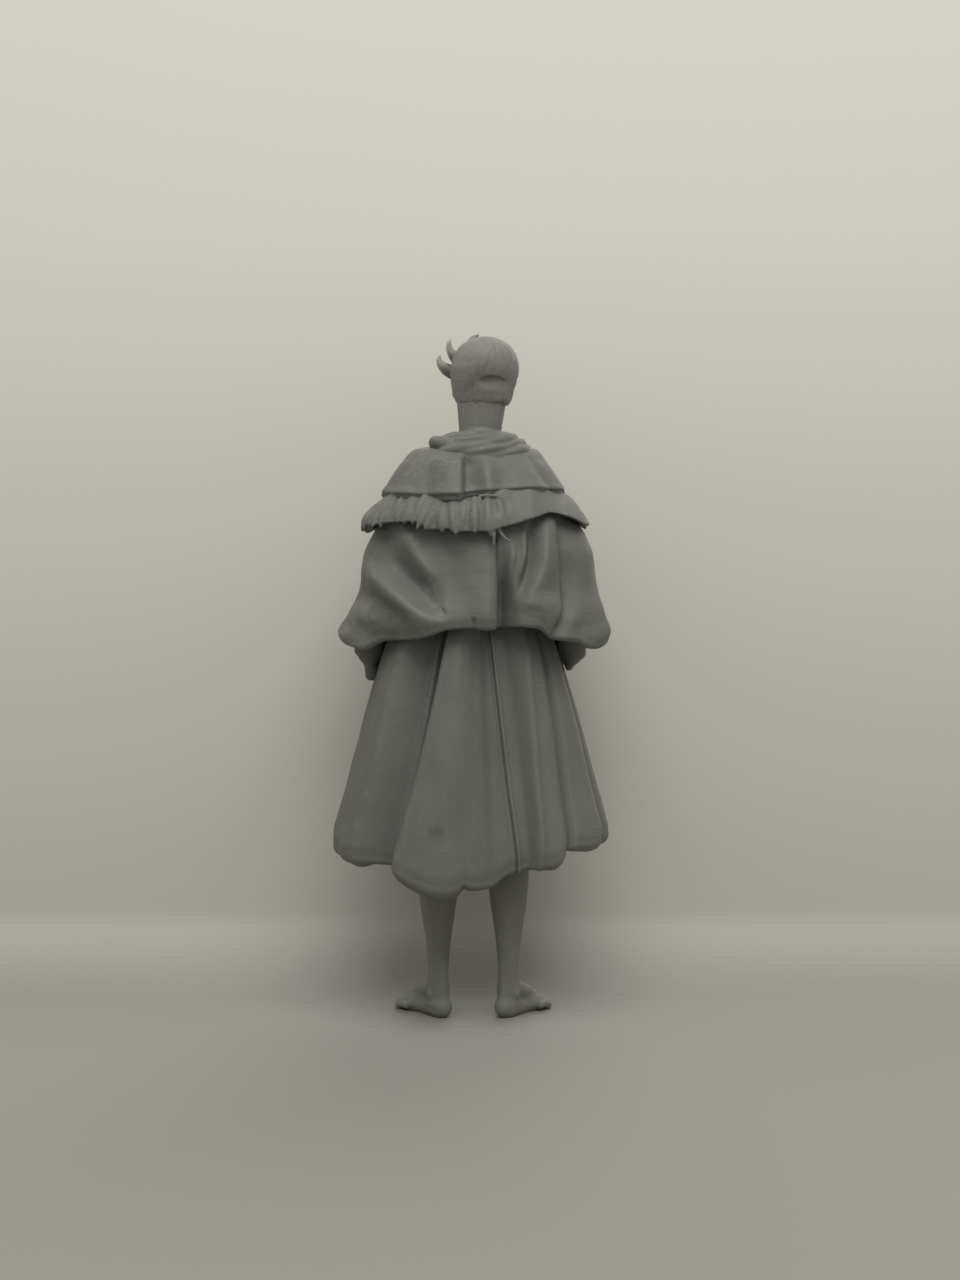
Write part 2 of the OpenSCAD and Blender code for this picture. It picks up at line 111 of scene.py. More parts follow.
def smooth_path(points, count, space=3):
    """Rows along a smooth line through the given ones; their first columns are places in space."""
    points = np.asarray(points, float)
    at = np.concatenate([[0], np.cumsum(np.linalg.norm(np.diff(points[:, :space], axis=0), axis=1))])
    t = np.linspace(0, at[-1], count)
    return np.stack([curve(t, list(zip(at, col))) for col in points.T], -1)


def strokes(x, z, folds):
    """Height of cloth folds: lines of (x, z, width, height), and the shares of the width on both flanks."""
    total = np.zeros(x.shape)
    for points, flanks in folds:
        near, height = np.full(x.shape, 1e9), np.zeros(x.shape)
        path = smooth_path(points, 4 * len(points), 2)
        for (x0, z0, w0, h0), (x1, z1, w1, h1) in zip(path, path[1:]):
            dx, dz = x1 - x0, z1 - z0
            t = np.clip(((x - x0) * dx + (z - z0) * dz) / (dx * dx + dz * dz), 0, 1)
            off_x, off_z = x - x0 - t * dx, z - z0 - t * dz
            far = np.hypot(off_x, off_z)
            width = (w0 + (w1 - w0) * t) * np.where(dx * off_z > dz * off_x, *flanks)
            height = np.where(far < near, (h0 + (h1 - h0) * t) * np.exp(-((far / width) ** 2)), height)
            near = np.minimum(near, far)
        total += height
    return total


def ellipse_way(a):
    return np.stack([np.cos(a), np.sin(a), 0 * a], -1)


def smooth_min(a, b, k):
    """The smaller of two distances, with their joint rounded by k."""
    h = np.clip(0.5 + 0.5 * (b - a) / k, 0, 1)
    return b + (a - b) * h - k * h * (1 - h)


def egg_distance(q, r):
    """About how far the places q lie outside an ellipsoid around zero with half-axes r."""
    k0 = np.linalg.norm(q / r, axis=-1)
    k1 = np.linalg.norm(q / (r * r), axis=-1)
    return k0 * (k0 - 1) / np.maximum(k1, 1e-6)


def oval_distance(u, v, ru, rv):
    """About how far the place u, v lies outside an ellipse with half-axes ru and rv."""
    return (np.hypot(u / ru, v / rv) - 1) * np.minimum(ru, rv)


# Meshes

# Distance in millimetres that counts as far from a surface
FAR = 5.0
SMOOTHING_ROUNDS = 2


def new_object(name, points, faces, material):
    mesh = bpy.data.meshes.new(name)
    mesh.from_pydata((np.asarray(points, float) * MM).tolist(), [], faces)
    mesh.shade_smooth()
    mesh.materials.append(material)
    made = bpy.data.objects.new(name, mesh)
    scene.collection.objects.link(made)
    return made


def add_piece(name, points, faces, material, body, slot, *nodes):
    piece = new_object(name, points, faces, material)
    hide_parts(*nodes)
    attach(piece, body)


def grid_faces(rows, cols, closed=True):
    """Quads of a grid whose rows close on themselves; its columns close too, or get end caps."""
    r = np.arange(rows)[:, None]
    c = np.arange(cols if closed else cols - 1)[None, :]
    r2, c2 = (r + 1) % rows, (c + 1) % cols
    corners = [r * cols + c, r2 * cols + c, r2 * cols + c2, r * cols + c2]
    faces = np.stack(corners, -1).reshape(-1, 4).tolist()
    if not closed:
        faces.append((np.arange(rows)[::-1] * cols).tolist())
        faces.append((np.arange(rows) * cols + cols - 1).tolist())
    return faces


def shell(outer, inner, hem_rows=9):
    """Closed shell: the outer grid from top to hem, a round hem, and the lining back to the top."""
    mid, half = (outer[-1] + inner[-1]) / 2, (outer[-1] - inner[-1]) / 2
    drop = np.linalg.norm(half, axis=-1, keepdims=True) * np.array([0, 0, -1.0])
    turns = np.linspace(0, math.pi, hem_rows + 2)[1:-1]
    hem = np.array([mid + half * math.cos(th) + drop * math.sin(th) for th in turns])
    return np.concatenate([outer, hem, inner[::-1]], 0)


def lining_rows(rows, count):
    """Rows of the outer grid that the coarser lining follows."""
    return np.linspace(0, rows - 1, count).round().astype(int)


class Clay:
    """A box of cells that holds the distance to a surface, worked with local tools."""

    def __init__(self, low, high, size):
        self.low, self.size = np.array(low, float), size
        axes = [np.arange(l, h + size, size, dtype=np.float32) for l, h in zip(low, high)]
        self.p = np.stack(np.meshgrid(*axes, indexing="ij"), -1)
        self.xyz = [self.p[..., k] for k in range(3)]
        self.d = np.full(self.p.shape[:3], FAR, np.float32)

    def window(self, low, high):
        """Cells between two corners."""
        first = np.floor((np.asarray(low) - self.low) / self.size).astype(int)
        last = np.ceil((np.asarray(high) - self.low) / self.size).astype(int) + 1
        return tuple(slice(max(a, 0), max(b, 0)) for a, b in zip(first, last))

    def blend(self, new, w, k, dig):
        """Adds the new distance in a window, or digs it away, with a joint rounded by k."""
        sign = -1 if dig else 1
        self.d[w] = sign * smooth_min(sign * self.d[w], new, k)

    def strand(self, path, k=0.08, dig=False, squeeze=None, count=0):
        """Tapered tube along points (x, y, z, radius); squeeze, a direction and a factor, flattens it."""
        path = smooth_path(path, count) if count else np.asarray(path, float)
        reach = path[:, 3].max() + 2 * k + 2 * self.size
        tube = np.full(self.d.shape, FAR, np.float32)
        for a, b in zip(path.astype(np.float32), path[1:].astype(np.float32)):
            w = self.window(np.minimum(a, b)[:3] - reach, np.maximum(a, b)[:3] + reach)
            ab = (b - a)[:3]
            t = np.clip((self.p[w] - a[:3]) @ ab / max(ab @ ab, 1e-9), 0, 1)
            off = self.p[w] - a[:3] - t[..., None] * ab
            if squeeze:
                way, factor = np.float32(squeeze[0]), squeeze[1]
                off = off + ((off @ way) * (factor - 1))[..., None] * way
            tube[w] = np.minimum(tube[w], np.linalg.norm(off, axis=-1) - (a[3] + (b[3] - a[3]) * t))
        w = self.window(path[:, :3].min(0) - reach, path[:, :3].max(0) + reach)
        self.blend(tube[w], w, k, dig)

    def rod(self, a, b, ra, rb, k=0.1, dig=False, squeeze=None):
        """Tapered tube from a to b."""
        self.strand([(*a, ra), (*b, rb)], k, dig, squeeze)

    def egg(self, c, r, k=0.1, dig=False, turn=None):
        """Ellipsoid with half-axes r along X, Y and Z, or along the rows of turn."""
        c, r = np.float32(c), np.float32(r)
        reach = (r.max() if turn is not None else r) + 2 * k + 2 * self.size
        w = self.window(c - reach, c + reach)
        q = self.p[w] - c
        if turn is not None:
            q = q @ np.float32(turn).T
        self.blend(egg_distance(q, r), w, k, dig)

    def limit(self, distance):
        """Keeps only what lies where the given distance is negative."""
        self.d = np.maximum(self.d, distance.astype(np.float32))

    def mesh(self):
        """Points and quads of the surface, smoothed a little."""
        d = self.d
        for k in range(3):
            for end in (0, -1):
                edge = [slice(None)] * 3
                edge[k] = end
                d[tuple(edge)] = np.maximum(d[tuple(edge)], self.size)
        grid = openvdb.FloatGrid(FAR)
        grid.copyFromArray(np.clip(d, -FAR, FAR))
        points, quads = grid.convertToQuads(0.0)
        # only the largest body is kept, without loose crumbs
        label, before = np.arange(len(points)), None
        while before is None or (label != before).any():
            before = label.copy()
            low = label[quads].min(1)
            for i in range(4):
                np.minimum.at(label, quads[:, i], low)
            label = label[label]
        quads = quads[label[quads[:, 0]] == np.bincount(label).argmax()]
        used, quads = np.unique(quads, return_inverse=True)
        quads = quads.reshape(-1, 4)
        points = points[used].astype(float) * self.size + self.low
        for _ in range(SMOOTHING_ROUNDS):
            total, count = np.zeros_like(points), np.zeros(len(points))
            for i in range(4):
                for j in (1, 3):
                    np.add.at(total, quads[:, i], points[quads[:, (i + j) % 4]])
                    np.add.at(count, quads[:, i], 1)
            points = 0.5 * points + 0.5 * total / np.maximum(count, 1)[:, None]
        return points, quads.tolist()


# Materials

# Scale and detail of a coarse and a fine noise
MOTTLE, SPECK = (420.0, 4.0), (4200.0, 2.0)
NOISE_SPAN = 0.3, 0.7
# Strength and height of the relief of the print layers and of the fine noise
LAYER_RELIEF, SPECK_RELIEF = (0.1, 0.00002), (0.16, 0.00004)
PRINT_LAYERS = {"Scale": 3300.0, "Distortion": 0.6, "Detail Scale": 0.4}
SATIN = {"Subsurface Weight": 0.22, "Subsurface Radius": (1.0, 1.0, 0.9), "Subsurface Scale": 0.00035,
         "Specular IOR Level": 0.3}
# Centre and radius of the round dimple left by a print support on the centre pleat, where the garment tone
# is darker towards the middle
MARK, MARK_R = np.array((1.63, 5.5, 9.78)), 0.66
# Changes of tone by place: what is measured, from what, and the measures and tones at both ends
MARK_TONE = "DISTANCE", MARK * MM, 0.5 * MARK_R * MM, MARK_R * MM, 0.82, 1.0
# Thin locks on the left side are painted paler, standing in for light that shines through them
THIN_LOCK_PAINTED_LIGHT = "DOT_PRODUCT", (1.0, 0.0, 0.6), 21.35 * MM, 21.75 * MM, 1.0, 1.8


def feed(tree, node, sockets):
    """Links sockets of the node to outputs of other nodes, or sets them to values."""
    for key, source in sockets.items():
        if isinstance(source, bpy.types.NodeSocket):
            tree.links.new(source, node.inputs[key])
        else:
            node.inputs[key].default_value = source


def add_node(tree, kind, output, sockets=None, **settings):
    """New node with its settings and what its sockets get; gives one of its outputs."""
    node = tree.nodes.new(kind)
    for key, value in settings.items():
        setattr(node, key, value)
    feed(tree, node, sockets or {})
    return node.outputs[output]


def new_material(name):
    """New material with its node tree and its shader."""
    m = bpy.data.materials.new(name)
    m.use_nodes = True
    return m, m.node_tree, m.node_tree.nodes["Principled BSDF"]


def resin(name, colour, rough, change=None):
    """Cured grey printing resin: faint layer lines, mottling, painted highlight on edges and painted shade
    in creases, and a satin skin.
    """
    m, tree, shader = new_material(name)
    place = add_node(tree, "ShaderNodeTexCoord", "Object")
    edges = add_node(tree, "ShaderNodeNewGeometry", "Pointiness")

    def texture(scale, detail):
        values = {"Vector": place, "Scale": scale, "Detail": detail}
        return add_node(tree, "ShaderNodeTexNoise", "Fac", values)

    def remap(source, low, high, to_low, to_high):
        spans = {"From Min": low, "From Max": high, "To Min": to_low, "To Max": to_high}
        return add_node(tree, "ShaderNodeMapRange", "Result", {"Value": source, **spans})

    def times(a, b):
        return add_node(tree, "ShaderNodeMath", "Value", {0: a, 1: b}, operation="MULTIPLY")

    def relief(height, strength, distance, **under):
        values = {"Height": height, "Strength": strength, "Distance": distance, **under}
        return add_node(tree, "ShaderNodeBump", "Normal", values)

    mottle, speck = texture(*MOTTLE), texture(*SPECK)
    grain = times(remap(mottle, *NOISE_SPAN, 0.93, 1.07), remap(speck, *NOISE_SPAN, 0.96, 1.04))
    # painted shade and highlight: darker in creases and hollows, paler on edges and ridges, by the
    # surface's curvature
    tone = times(grain, remap(edges, 0.44, 0.58, 0.86, 1.14))
    if change:
        operation, origin, *spans = change
        ends = {0: place, 1: origin}
        measure = add_node(tree, "ShaderNodeVectorMath", "Value", ends, operation=operation)
        tone = times(tone, remap(measure, *spans))
    tint = add_node(tree, "ShaderNodeMix", "Result", {"Factor": 1.0, "A": (*colour, 1), "B": tone},
                    data_type="RGBA", blend_type="MULTIPLY")
    layers = add_node(tree, "ShaderNodeTexWave", "Fac", {"Vector": place, **PRINT_LAYERS},
                      wave_type="BANDS", bands_direction="Z")
    lines = relief(layers, *LAYER_RELIEF)
    gloss = remap(mottle, *NOISE_SPAN, rough - 0.06, rough + 0.08)
    normal = relief(speck, *SPECK_RELIEF, Normal=lines)
    feed(tree, shader, {"Base Color": tint, "Roughness": gloss, "Normal": normal, **SATIN})
    return m


# The one grey resin in lighter and darker copies: the skin and the hair are painted paler than the
# garments, standing in for light and shade
GARMENT = resin("resin_garments", (0.131, 0.131, 0.121), 0.56, MARK_TONE)
SKIN = resin("resin_body", (0.17, 0.169, 0.155), 0.54)
HAIR = resin("resin_hair", (0.184, 0.182, 0.169), 0.52, THIN_LOCK_PAINTED_LIGHT)


def dress(name, points, faces, *nodes):
    add_piece(name, points, faces, GARMENT, "figure", "resin_garments", *nodes)


def dress_grid(name, grid, node, closed=True):
    rows, cols = grid.shape[:2]
    dress(name, grid.reshape(-1, 3), grid_faces(rows, cols, closed), node)


# Skirt

SKIRT_X = [(0, 3.6), (1.6, 4.2), (4.5, 5.02), (8.5, 6.05), (11.9, 6.92), (14, 7.2)]
SKIRT_Y = [(0, 2.9), (1.6, 3.4), (4.5, 3.95), (11.9, 5.2), (14, 5.5)]
# Each pleat: where it starts at waist and hem in degrees, its profile as (place, height) from edge
# to edge, and its folds as (place at waist and hem, width, height at waist and hem)
PLEATS = [
    ((3, 4), [(0, 0.1), (0.12, 0.3), (0.42, 0.46), (0.6, 0.38), (0.76, -0.2), (0.88, -0.62), (1, -0.8)],
     [(0.55, 0.7, 0.12, 0.14, 0.26), (0.9, 0.93, 0.04, 0.34, 0), (0.24, 0.3, 0.1, -0.12, -0.16)]),
    ((74.8, 57.1), [(0, 0.1), (0.035, 0.46), (0.1, 0.6), (0.34, 0.58), (0.52, 0.34), (0.7, -0.16),
      (0.84, -0.6), (0.94, -0.7), (1, -0.58)],
     [(0.3, 0.24, 0.14, 0.06, 0.1), (0.62, 0.55, 0.07, -0.04, -0.07)]),
    ((104.7, 111.5), [(0, -0.7), (0.04, -0.42), (0.09, -0.5), (0.22, -0.52), (0.4, 0.06), (0.52, 0.14),
      (0.7, 0.18), (0.9, 0), (1, -0.3)],
     [(0.53, 0.3, 0.08, 0.2, 0.28), (0.66, 0.62, 0.16, 0.08, 0.16)]),
    ((153, 137), [(0, -0.05), (0.06, 0.2), (0.5, 0.3), (0.85, 0.1), (1, -0.2)],
     [(0.35, 0.45, 0.12, 0, 0.14)]),
    ((184, 178), [(0, 0.1), (0.08, 0.3), (0.45, 0.34), (0.8, -0.06), (1, -0.36)],
     [(0.3, 0.38, 0.12, 0.1, 0.18)]),
    ((207, 205), [(0, 0.12), (0.08, 0.36), (0.45, 0.42), (0.8, -0.06), (1, -0.45)],
     [(0.5, 0.5, 0.12, 0.1, 0.22), (0.26, 0.22, 0.08, -0.1, -0.14)]),
    ((236, 234), [(0, 0.1), (0.05, 0.42), (0.16, 0.5), (0.5, 0.2), (0.84, 0.5), (0.95, 0.42), (1, 0.1)],
     [(0.34, 0.3, 0.06, 0.1, 0.16), (0.68, 0.72, 0.06, 0.08, 0.14), (0.52, 0.52, 0.06, -0.1, -0.16)]),
    ((287, 290), [(0, -0.45), (0.18, -0.06), (0.52, 0.42), (0.92, 0.38), (1, 0.12)],
     [(0.46, 0.5, 0.12, 0.1, 0.2), (0.74, 0.78, 0.08, -0.1, -0.14)]),
    ((316, 320), [(0, -0.4), (0.18, -0.04), (0.5, 0.36), (0.92, 0.36), (1, 0.12)],
     [(0.55, 0.55, 0.12, 0.12, 0.2)]),
    ((340, 343), [(0, -0.3), (0.18, 0), (0.5, 0.28), (0.9, 0.26), (1, 0.08)],
     [(0.5, 0.5, 0.15, 0.06, 0.14)]),
]
# Height of the hem by angle
SKIRT_HEM = [
    (0, 9), (15, 8.75), (37, 8.55), (56, 8.25), (59, 8.2), (65, 7.85), (73.5, 7.4), (81, 7.2), (85.5, 7.3),
    (87.5, 7.62), (89.5, 7.42), (93, 7.34), (101, 7.45), (106, 7.85), (117, 8.2), (127, 8.4), (135, 8.85),
    (138.5, 9.15), (150, 9.1), (165, 9.35), (180, 9.3), (205, 8.9), (235, 8.5), (262, 8.3), (290, 8.5),
    (320, 8.8), (345, 9), (360, 9),
]


def skirt():
    rows, per_degree = 130, 1.55
    t = np.linspace(0, 1, rows)[:, None]
    angles, heights = [], []
    for (first, profile, folds), (last, *_) in zip(PLEATS, PLEATS[1:] + PLEATS[:1]):
        first, last = np.array(first, float), np.array(last, float)
        last += 360 * (last[0] < first[0])
        count = int((last - first).mean() * per_degree)
        s = (np.arange(count) / count)[None, :]
        s = 0.6 * s + 0.4 * (0.5 - 0.5 * np.cos(np.pi * s))
        start = first[0] + (first[1] - first[0]) * t
        end = last[0] + (last[1] - last[0]) * t
        angles.append(start + (end - start) * s)
        h = curve(s, profile) * (0.85 + 0.3 * t)
        for top, low, width, top_height, low_height in folds:
            h = h + (top_height + (low_height - top_height) * t) * bump(s, top + (low - top) * t, width)
        heights.append(h)
    a = np.concatenate(angles, 1)
    h = np.concatenate(heights, 1)
    hem = np.interp(a % 360, *zip(*SKIRT_HEM))
    z = Z_WAIST + (hem - Z_WAIST) * t
    d = Z_WAIST - z
    way = ellipse_way(np.radians(a))
    h = h * step(t, -0.25, 0.1) - 0.1 * step(t, 0.93, 1.0) ** 2
    p = way * np.stack([curve(d, SKIRT_X) + h, curve(d, SKIRT_Y) + h, 0 * h], -1)
    p[..., 2] = z
    long = p * (1, 1, 0.35)
    p += (noise(long, 1.3, 3) * 0.055 + noise(long, 0.5, 4) * 0.016)[..., None] * way
    mark = np.linalg.norm(p - MARK, axis=-1)
    p -= (0.05 * (1 - step(mark, 0.1, MARK_R)))[..., None] * way
    kept = lining_rows(rows, 30)
    wall = 0.55 + np.maximum(h[kept] + 0.1, 0) + 0.35 * (1 - step(t[kept], 0.0, 0.1))
    dress_grid("skirt_cloth", shell(p, p[kept] - wall[..., None] * way[kept]), "skirt")


skirt()


# Mantle

MANTLE_X = [
    (0, 2.1), (0.9, 3.15), (2.4, 4.2), (3.2, 4.85), (4.2, 5.5), (5.4, 5.95), (7, 6.15), (8.2, 6.6),
    (9.4, 7.15), (10.6, 7.2),
]
MANTLE_Y = [(0, 2.1), (0.9, 2.6), (2.4, 3.2), (3.2, 3.55), (4.4, 4), (7, 4.45), (9.4, 4.95), (10.6, 5.1)]
MANTLE_SHIFT = [(0, -0.5), (2.4, -0.25), (4.2, -0.42), (7, -0.4), (9.6, -0.15)]
SEAM_X = -1.34
# Height of the mantle's hem by X, across the back and the front
MANTLE_HEM_BACK = [
    (-7.4, 19.6), (-7.1, 19.25), (-6.6, 19.1), (-6.1, 19.2), (-5.7, 19.45), (-4.4, 19.55), (-3.9, 19.75),
    (-3.5, 20.1), (-3.2, 20.15), (-1.5, 20.1), (-1.3, 20), (0, 20.05), (1.3, 19.95), (1.9, 19.75),
    (2.5, 19.58), (3.5, 19.5), (5, 19.52), (5.6, 19.35), (6.1, 19.05), (6.6, 19.25), (7, 19.65),
]
MANTLE_HEM_FRONT = [
    (-7.4, 19.6), (-6.2, 19.6), (-4.4, 20.9), (-2.4, 21.5), (-1.34, 21.9), (0, 21.6), (2.2, 21.3),
    (4.4, 20.8), (6, 19.5), (7, 19.65),
]
EVEN = (1, 1)
# Folds as lines of (x, z, width, height) and the shares of the width on the fold's two flanks
LEFT_FOLDS = [
    ([(5.3, 23.6, 0.35, 0.05), (4.9, 22.95, 0.42, 0.3), (4.46, 22.5, 0.45, 0.54), (3.69, 21.83, 0.45, 0.64),
      (2.91, 21.15, 0.42, 0.62), (2.23, 20.56, 0.4, 0.5), (1.55, 20.22, 0.36, 0.22), (1.05, 20.1, 0.3, 0)],
     (1.8, 0.72)),
    ([(4.3, 25.2, 0.4, -0.12), (4.2, 23.9, 0.48, -0.3), (3.6, 22.75, 0.58, -0.46), (2.7, 21.9, 0.55, -0.5),
      (1.95, 21.2, 0.5, -0.34), (1.4, 20.8, 0.4, 0)], (0.8, 1.2)),
    ([(3.3, 25.2, 0.4, 0.16), (3, 24.4, 0.4, 0.26), (2.5, 23.5, 0.36, 0.26), (2, 22.7, 0.34, 0.12),
      (1.7, 22.2, 0.3, 0)], (1.2, 0.8)),
    ([(-0.8, 24.8, 0.5, 0.05), (-0.85, 22.5, 0.55, 0.2), (-0.85, 20.9, 0.5, 0.3), (-0.85, 20, 0.45, 0.2)],
     (1.5, 0.8)),
    ([(1.2, 24.6, 0.5, -0.08), (0.9, 23, 0.6, -0.16), (0.8, 21.6, 0.6, -0.1), (0.7, 20.8, 0.5, 0)], EVEN),
    ([(1.52, 20.98, 0.08, 0), (1.32, 20.72, 0.1, -0.13), (1.18, 20.45, 0.08, 0)], EVEN),
    ([(-0.15, 20.5, 0.09, 0), (-0.2, 20.25, 0.1, -0.12), (-0.22, 20, 0.1, -0.1)], EVEN),
    ([(6.1, 22.4, 0.5, 0), (5.5, 21.7, 0.6, -0.24), (4.5, 21, 0.6, -0.3), (3.4, 20.4, 0.5, -0.16)], EVEN),
    ([(6.5, 20, 0.6, -0.2), (5.6, 19.5, 0.95, -0.85), (4.5, 19.4, 0.95, -0.85), (3.3, 19.5, 0.75, -0.45),
      (2.3, 19.7, 0.4, 0)], EVEN),
]
RIGHT_FOLDS = [
    ([(-1.62, 23.8, 0.28, 0), (-1.68, 22.6, 0.32, -0.45), (-1.74, 21.5, 0.4, -1.05),
      (-1.8, 20.6, 0.46, -1.3), (-1.82, 19.8, 0.46, -1.3)], (1.8, 1)),
    ([(-2.68, 24.7, 0.16, 0.06), (-2.66, 23.7, 0.18, 0.2), (-2.5, 22.9, 0.18, 0.13), (-2.3, 22.3, 0.15, 0)],
     EVEN),
    ([(-2.1, 24.4, 0.15, 0), (-2.08, 23.4, 0.17, 0.17), (-2, 22.6, 0.16, 0.07), (-1.95, 22.1, 0.12, 0)],
     EVEN),
    ([(-3.1, 25.2, 0.22, -0.18), (-3.08, 24, 0.24, -0.3), (-2.95, 22.9, 0.25, -0.3),
      (-2.55, 21.8, 0.25, -0.22), (-2.25, 21, 0.3, 0)], EVEN),
    ([(-3.75, 25.3, 0.36, 0.22), (-3.65, 24, 0.4, 0.4), (-3.5, 23, 0.42, 0.46), (-3.15, 22.1, 0.42, 0.42),
      (-2.85, 21.2, 0.45, 0.28), (-2.7, 20.5, 0.4, 0)], (0.75, 1.5)),
    ([(-3.75, 21.8, 0.7, 0.1), (-3.65, 20.9, 0.85, 0.36), (-3.4, 20.3, 0.8, 0.25)], EVEN),
    ([(-4.55, 25.3, 0.3, -0.2), (-4.75, 23.8, 0.32, -0.38), (-4.9, 22.6, 0.34, -0.46),
      (-4.96, 21.4, 0.34, -0.46), (-4.75, 20.3, 0.32, -0.36), (-4.3, 19.6, 0.3, -0.2)], (0.9, 1.1)),
    ([(-5.7, 24.8, 0.5, 0.06), (-6, 23, 0.6, 0.14), (-6.3, 21.2, 0.6, 0.2), (-6.6, 20.2, 0.6, 0.1)], EVEN),
    ([(-6.4, 20, 0.5, -0.1), (-5.6, 19.8, 0.55, -0.3), (-4.6, 19.9, 0.5, -0.2), (-3.9, 20.2, 0.4, 0)],
     EVEN),
]
FRONT_FOLDS = [
    ([(5, 24.6, 0.4, 0), (4.5, 23.5, 0.5, 0.4), (3.8, 22.5, 0.5, 0.46), (2.9, 21.8, 0.4, 0.12)],
     (1.4, 0.8)),
    ([(5.5, 23.2, 0.4, 0), (5.1, 21.9, 0.45, -0.36), (4.4, 21.1, 0.4, -0.1)], EVEN),
    ([(3.6, 24.8, 0.4, -0.1), (2.8, 23.3, 0.5, -0.4), (1.8, 22.3, 0.45, -0.2), (1.2, 21.9, 0.4, 0)], EVEN),
    ([(2.3, 24.8, 0.35, 0.1), (1.4, 23.3, 0.42, 0.34), (0.4, 22.3, 0.4, 0.16)], (0.8, 1.3)),
    ([(0.6, 24.8, 0.3, -0.1), (0, 23.6, 0.34, -0.22), (-0.6, 22.6, 0.3, 0)], EVEN),
    ([(-4.8, 24.6, 0.4, 0), (-4.4, 23.4, 0.5, 0.42), (-3.9, 22.3, 0.5, 0.44), (-3.3, 21.7, 0.4, 0.12)],
     (0.8, 1.4)),
    ([(-5.7, 23.4, 0.4, 0), (-5.3, 22, 0.45, -0.36), (-4.6, 21.2, 0.4, -0.1)], EVEN),
    ([(-3.6, 24.8, 0.4, -0.1), (-3.1, 23.4, 0.42, -0.38), (-2.6, 22.2, 0.4, -0.1)], EVEN),
    ([(-2.5, 24.6, 0.35, 0.1), (-2.2, 23.2, 0.38, 0.32), (-1.9, 22.3, 0.35, 0.14)], EVEN),
    ([(5.9, 21.4, 0.6, 0), (5.6, 20.6, 0.7, 0.25), (5.4, 20.2, 0.6, 0.2)], EVEN),
    ([(-6.1, 21.4, 0.6, 0), (-5.8, 20.6, 0.7, 0.25), (-5.6, 20.2, 0.6, 0.2)], EVEN),
]


def mantle_half(side, cols, back_folds):
    rows, top, gap = 130, 1.3, 0.006
    t = np.linspace(0, 1, rows)[:, None]
    u = np.linspace(0, 1, cols)[None, :]
    edge_x = SEAM_X + (gap if side == "left" else -gap)
    d = top + (9.4 - top) * t + 0 * u
    for _ in range(3):
        rx, ry, cx = curve(d, MANTLE_X), curve(d, MANTLE_Y), curve(d, MANTLE_SHIFT)
        seam = np.arccos(np.clip((edge_x - cx) / rx, -1, 1))
        a = -seam + 2 * seam * u if side == "left" else seam + (2 * np.pi - 2 * seam) * u
        x = cx + rx * np.cos(a)
        back = step(np.sin(a), -0.25, 0.25)
        hem = back * curve(x, MANTLE_HEM_BACK) + (1 - back) * curve(x, MANTLE_HEM_FRONT)
        d = top + (Z_COLLAR - hem - top) * t
    way = ellipse_way(a)
    z = Z_COLLAR - d
    on_back, on_front = step(way[..., 1], 0.0, 0.3), step(-way[..., 1], 0.0, 0.3)
    h = on_back * strokes(x, z, back_folds) + on_front * strokes(x, z, FRONT_FOLDS)
    h *= step(d, 2.9, 4.0)
    above = z - hem
    # the cloth turns under at the hem, and its edges are rounded at the seam
    h -= 0.14 * (1 - step(above, -0.2, 0.45))
    h -= (0.1 if side == "left" else 0.05) * bump(x, SEAM_X, 0.1)
    p = np.stack([x, ry * way[..., 1], z], -1) + h[..., None] * way
    p += ((noise(p, 1.2, 5) * 0.05 + noise(p, 0.45, 6) * 0.018) * step(d, 2.9, 4.0))[..., None] * way
    kept = lining_rows(rows, 36)
    wall = 0.4 + np.maximum(h[kept], -0.05) + 0.14 * step(np.abs(x[kept]), 3.5, 5.5)
    grid = shell(p, p[kept] - wall[..., None] * way[kept], 11)
    dress_grid(f"mantle_{side}_cloth", grid, f"mantle_{side}", False)


mantle_half("left", 330, LEFT_FOLDS)
mantle_half("right", 250, RIGHT_FOLDS)


# Capelet

CAPELET = [
    (0, 1.9, 1.9), (0.1, 2.4, 2.2), (0.28, 3.2, 2.6), (0.9, 3.72, 3.05), (1.6, 4.2, 3.4), (2.3, 4.62, 3.72),
    (3, 4.95, 4),
]
CAPELET_TOP = 29.45
CAPELET_HEM_BACK = [
    (-5.2, 27), (-4.3, 26.85), (-3, 26.8), (-1.6, 26.65), (0, 26.55), (0.3, 26.5), (0.36, 26.4),
    (1.6, 26.4), (3.2, 26.55), (4.2, 26.7), (4.8, 27),
]
CAPELET_FOLDS = [
    ([(2.7, 28.7, 0.16, -0.04), (3.4, 27.8, 0.2, -0.11), (4.2, 26.7, 0.22, -0.14)], (1.4, 0.8)),
    ([(3, 28, 0.4, 0.04), (3.2, 27.3, 0.5, 0.1), (3.3, 26.6, 0.5, 0.12)], EVEN),
    ([(1.8, 28.6, 0.35, -0.08), (2, 27.6, 0.45, -0.2), (2.2, 26.5, 0.5, -0.22)], EVEN),
    ([(1, 28.6, 0.35, 0.03), (0.95, 27.5, 0.45, 0.09), (0.9, 26.5, 0.45, 0.1)], EVEN),
    ([(-0.7, 28.3, 0.3, 0.06), (-0.85, 27.5, 0.36, 0.26), (-0.95, 26.6, 0.38, 0.28)], EVEN),
    ([(-1.5, 28.3, 0.35, -0.06), (-1.75, 27.4, 0.45, -0.16), (-1.85, 26.7, 0.45, -0.18)], EVEN),
    ([(-2.6, 28.4, 0.35, 0.05), (-3.1, 27.4, 0.5, 0.16), (-3.4, 26.8, 0.6, 0.2)], (1, 0.7)),
    ([(-3, 28.5, 0.16, -0.04), (-3.6, 27.6, 0.2, -0.14), (-4.15, 26.8, 0.22, -0.16)], (0.8, 1.4)),
]
# The flap's edge on the back, the far side of the hollow beside it, and the edge of the yoke across it
FLAP_X, SLOT_X, YOKE_Z = 0.35, -0.56, 28.3


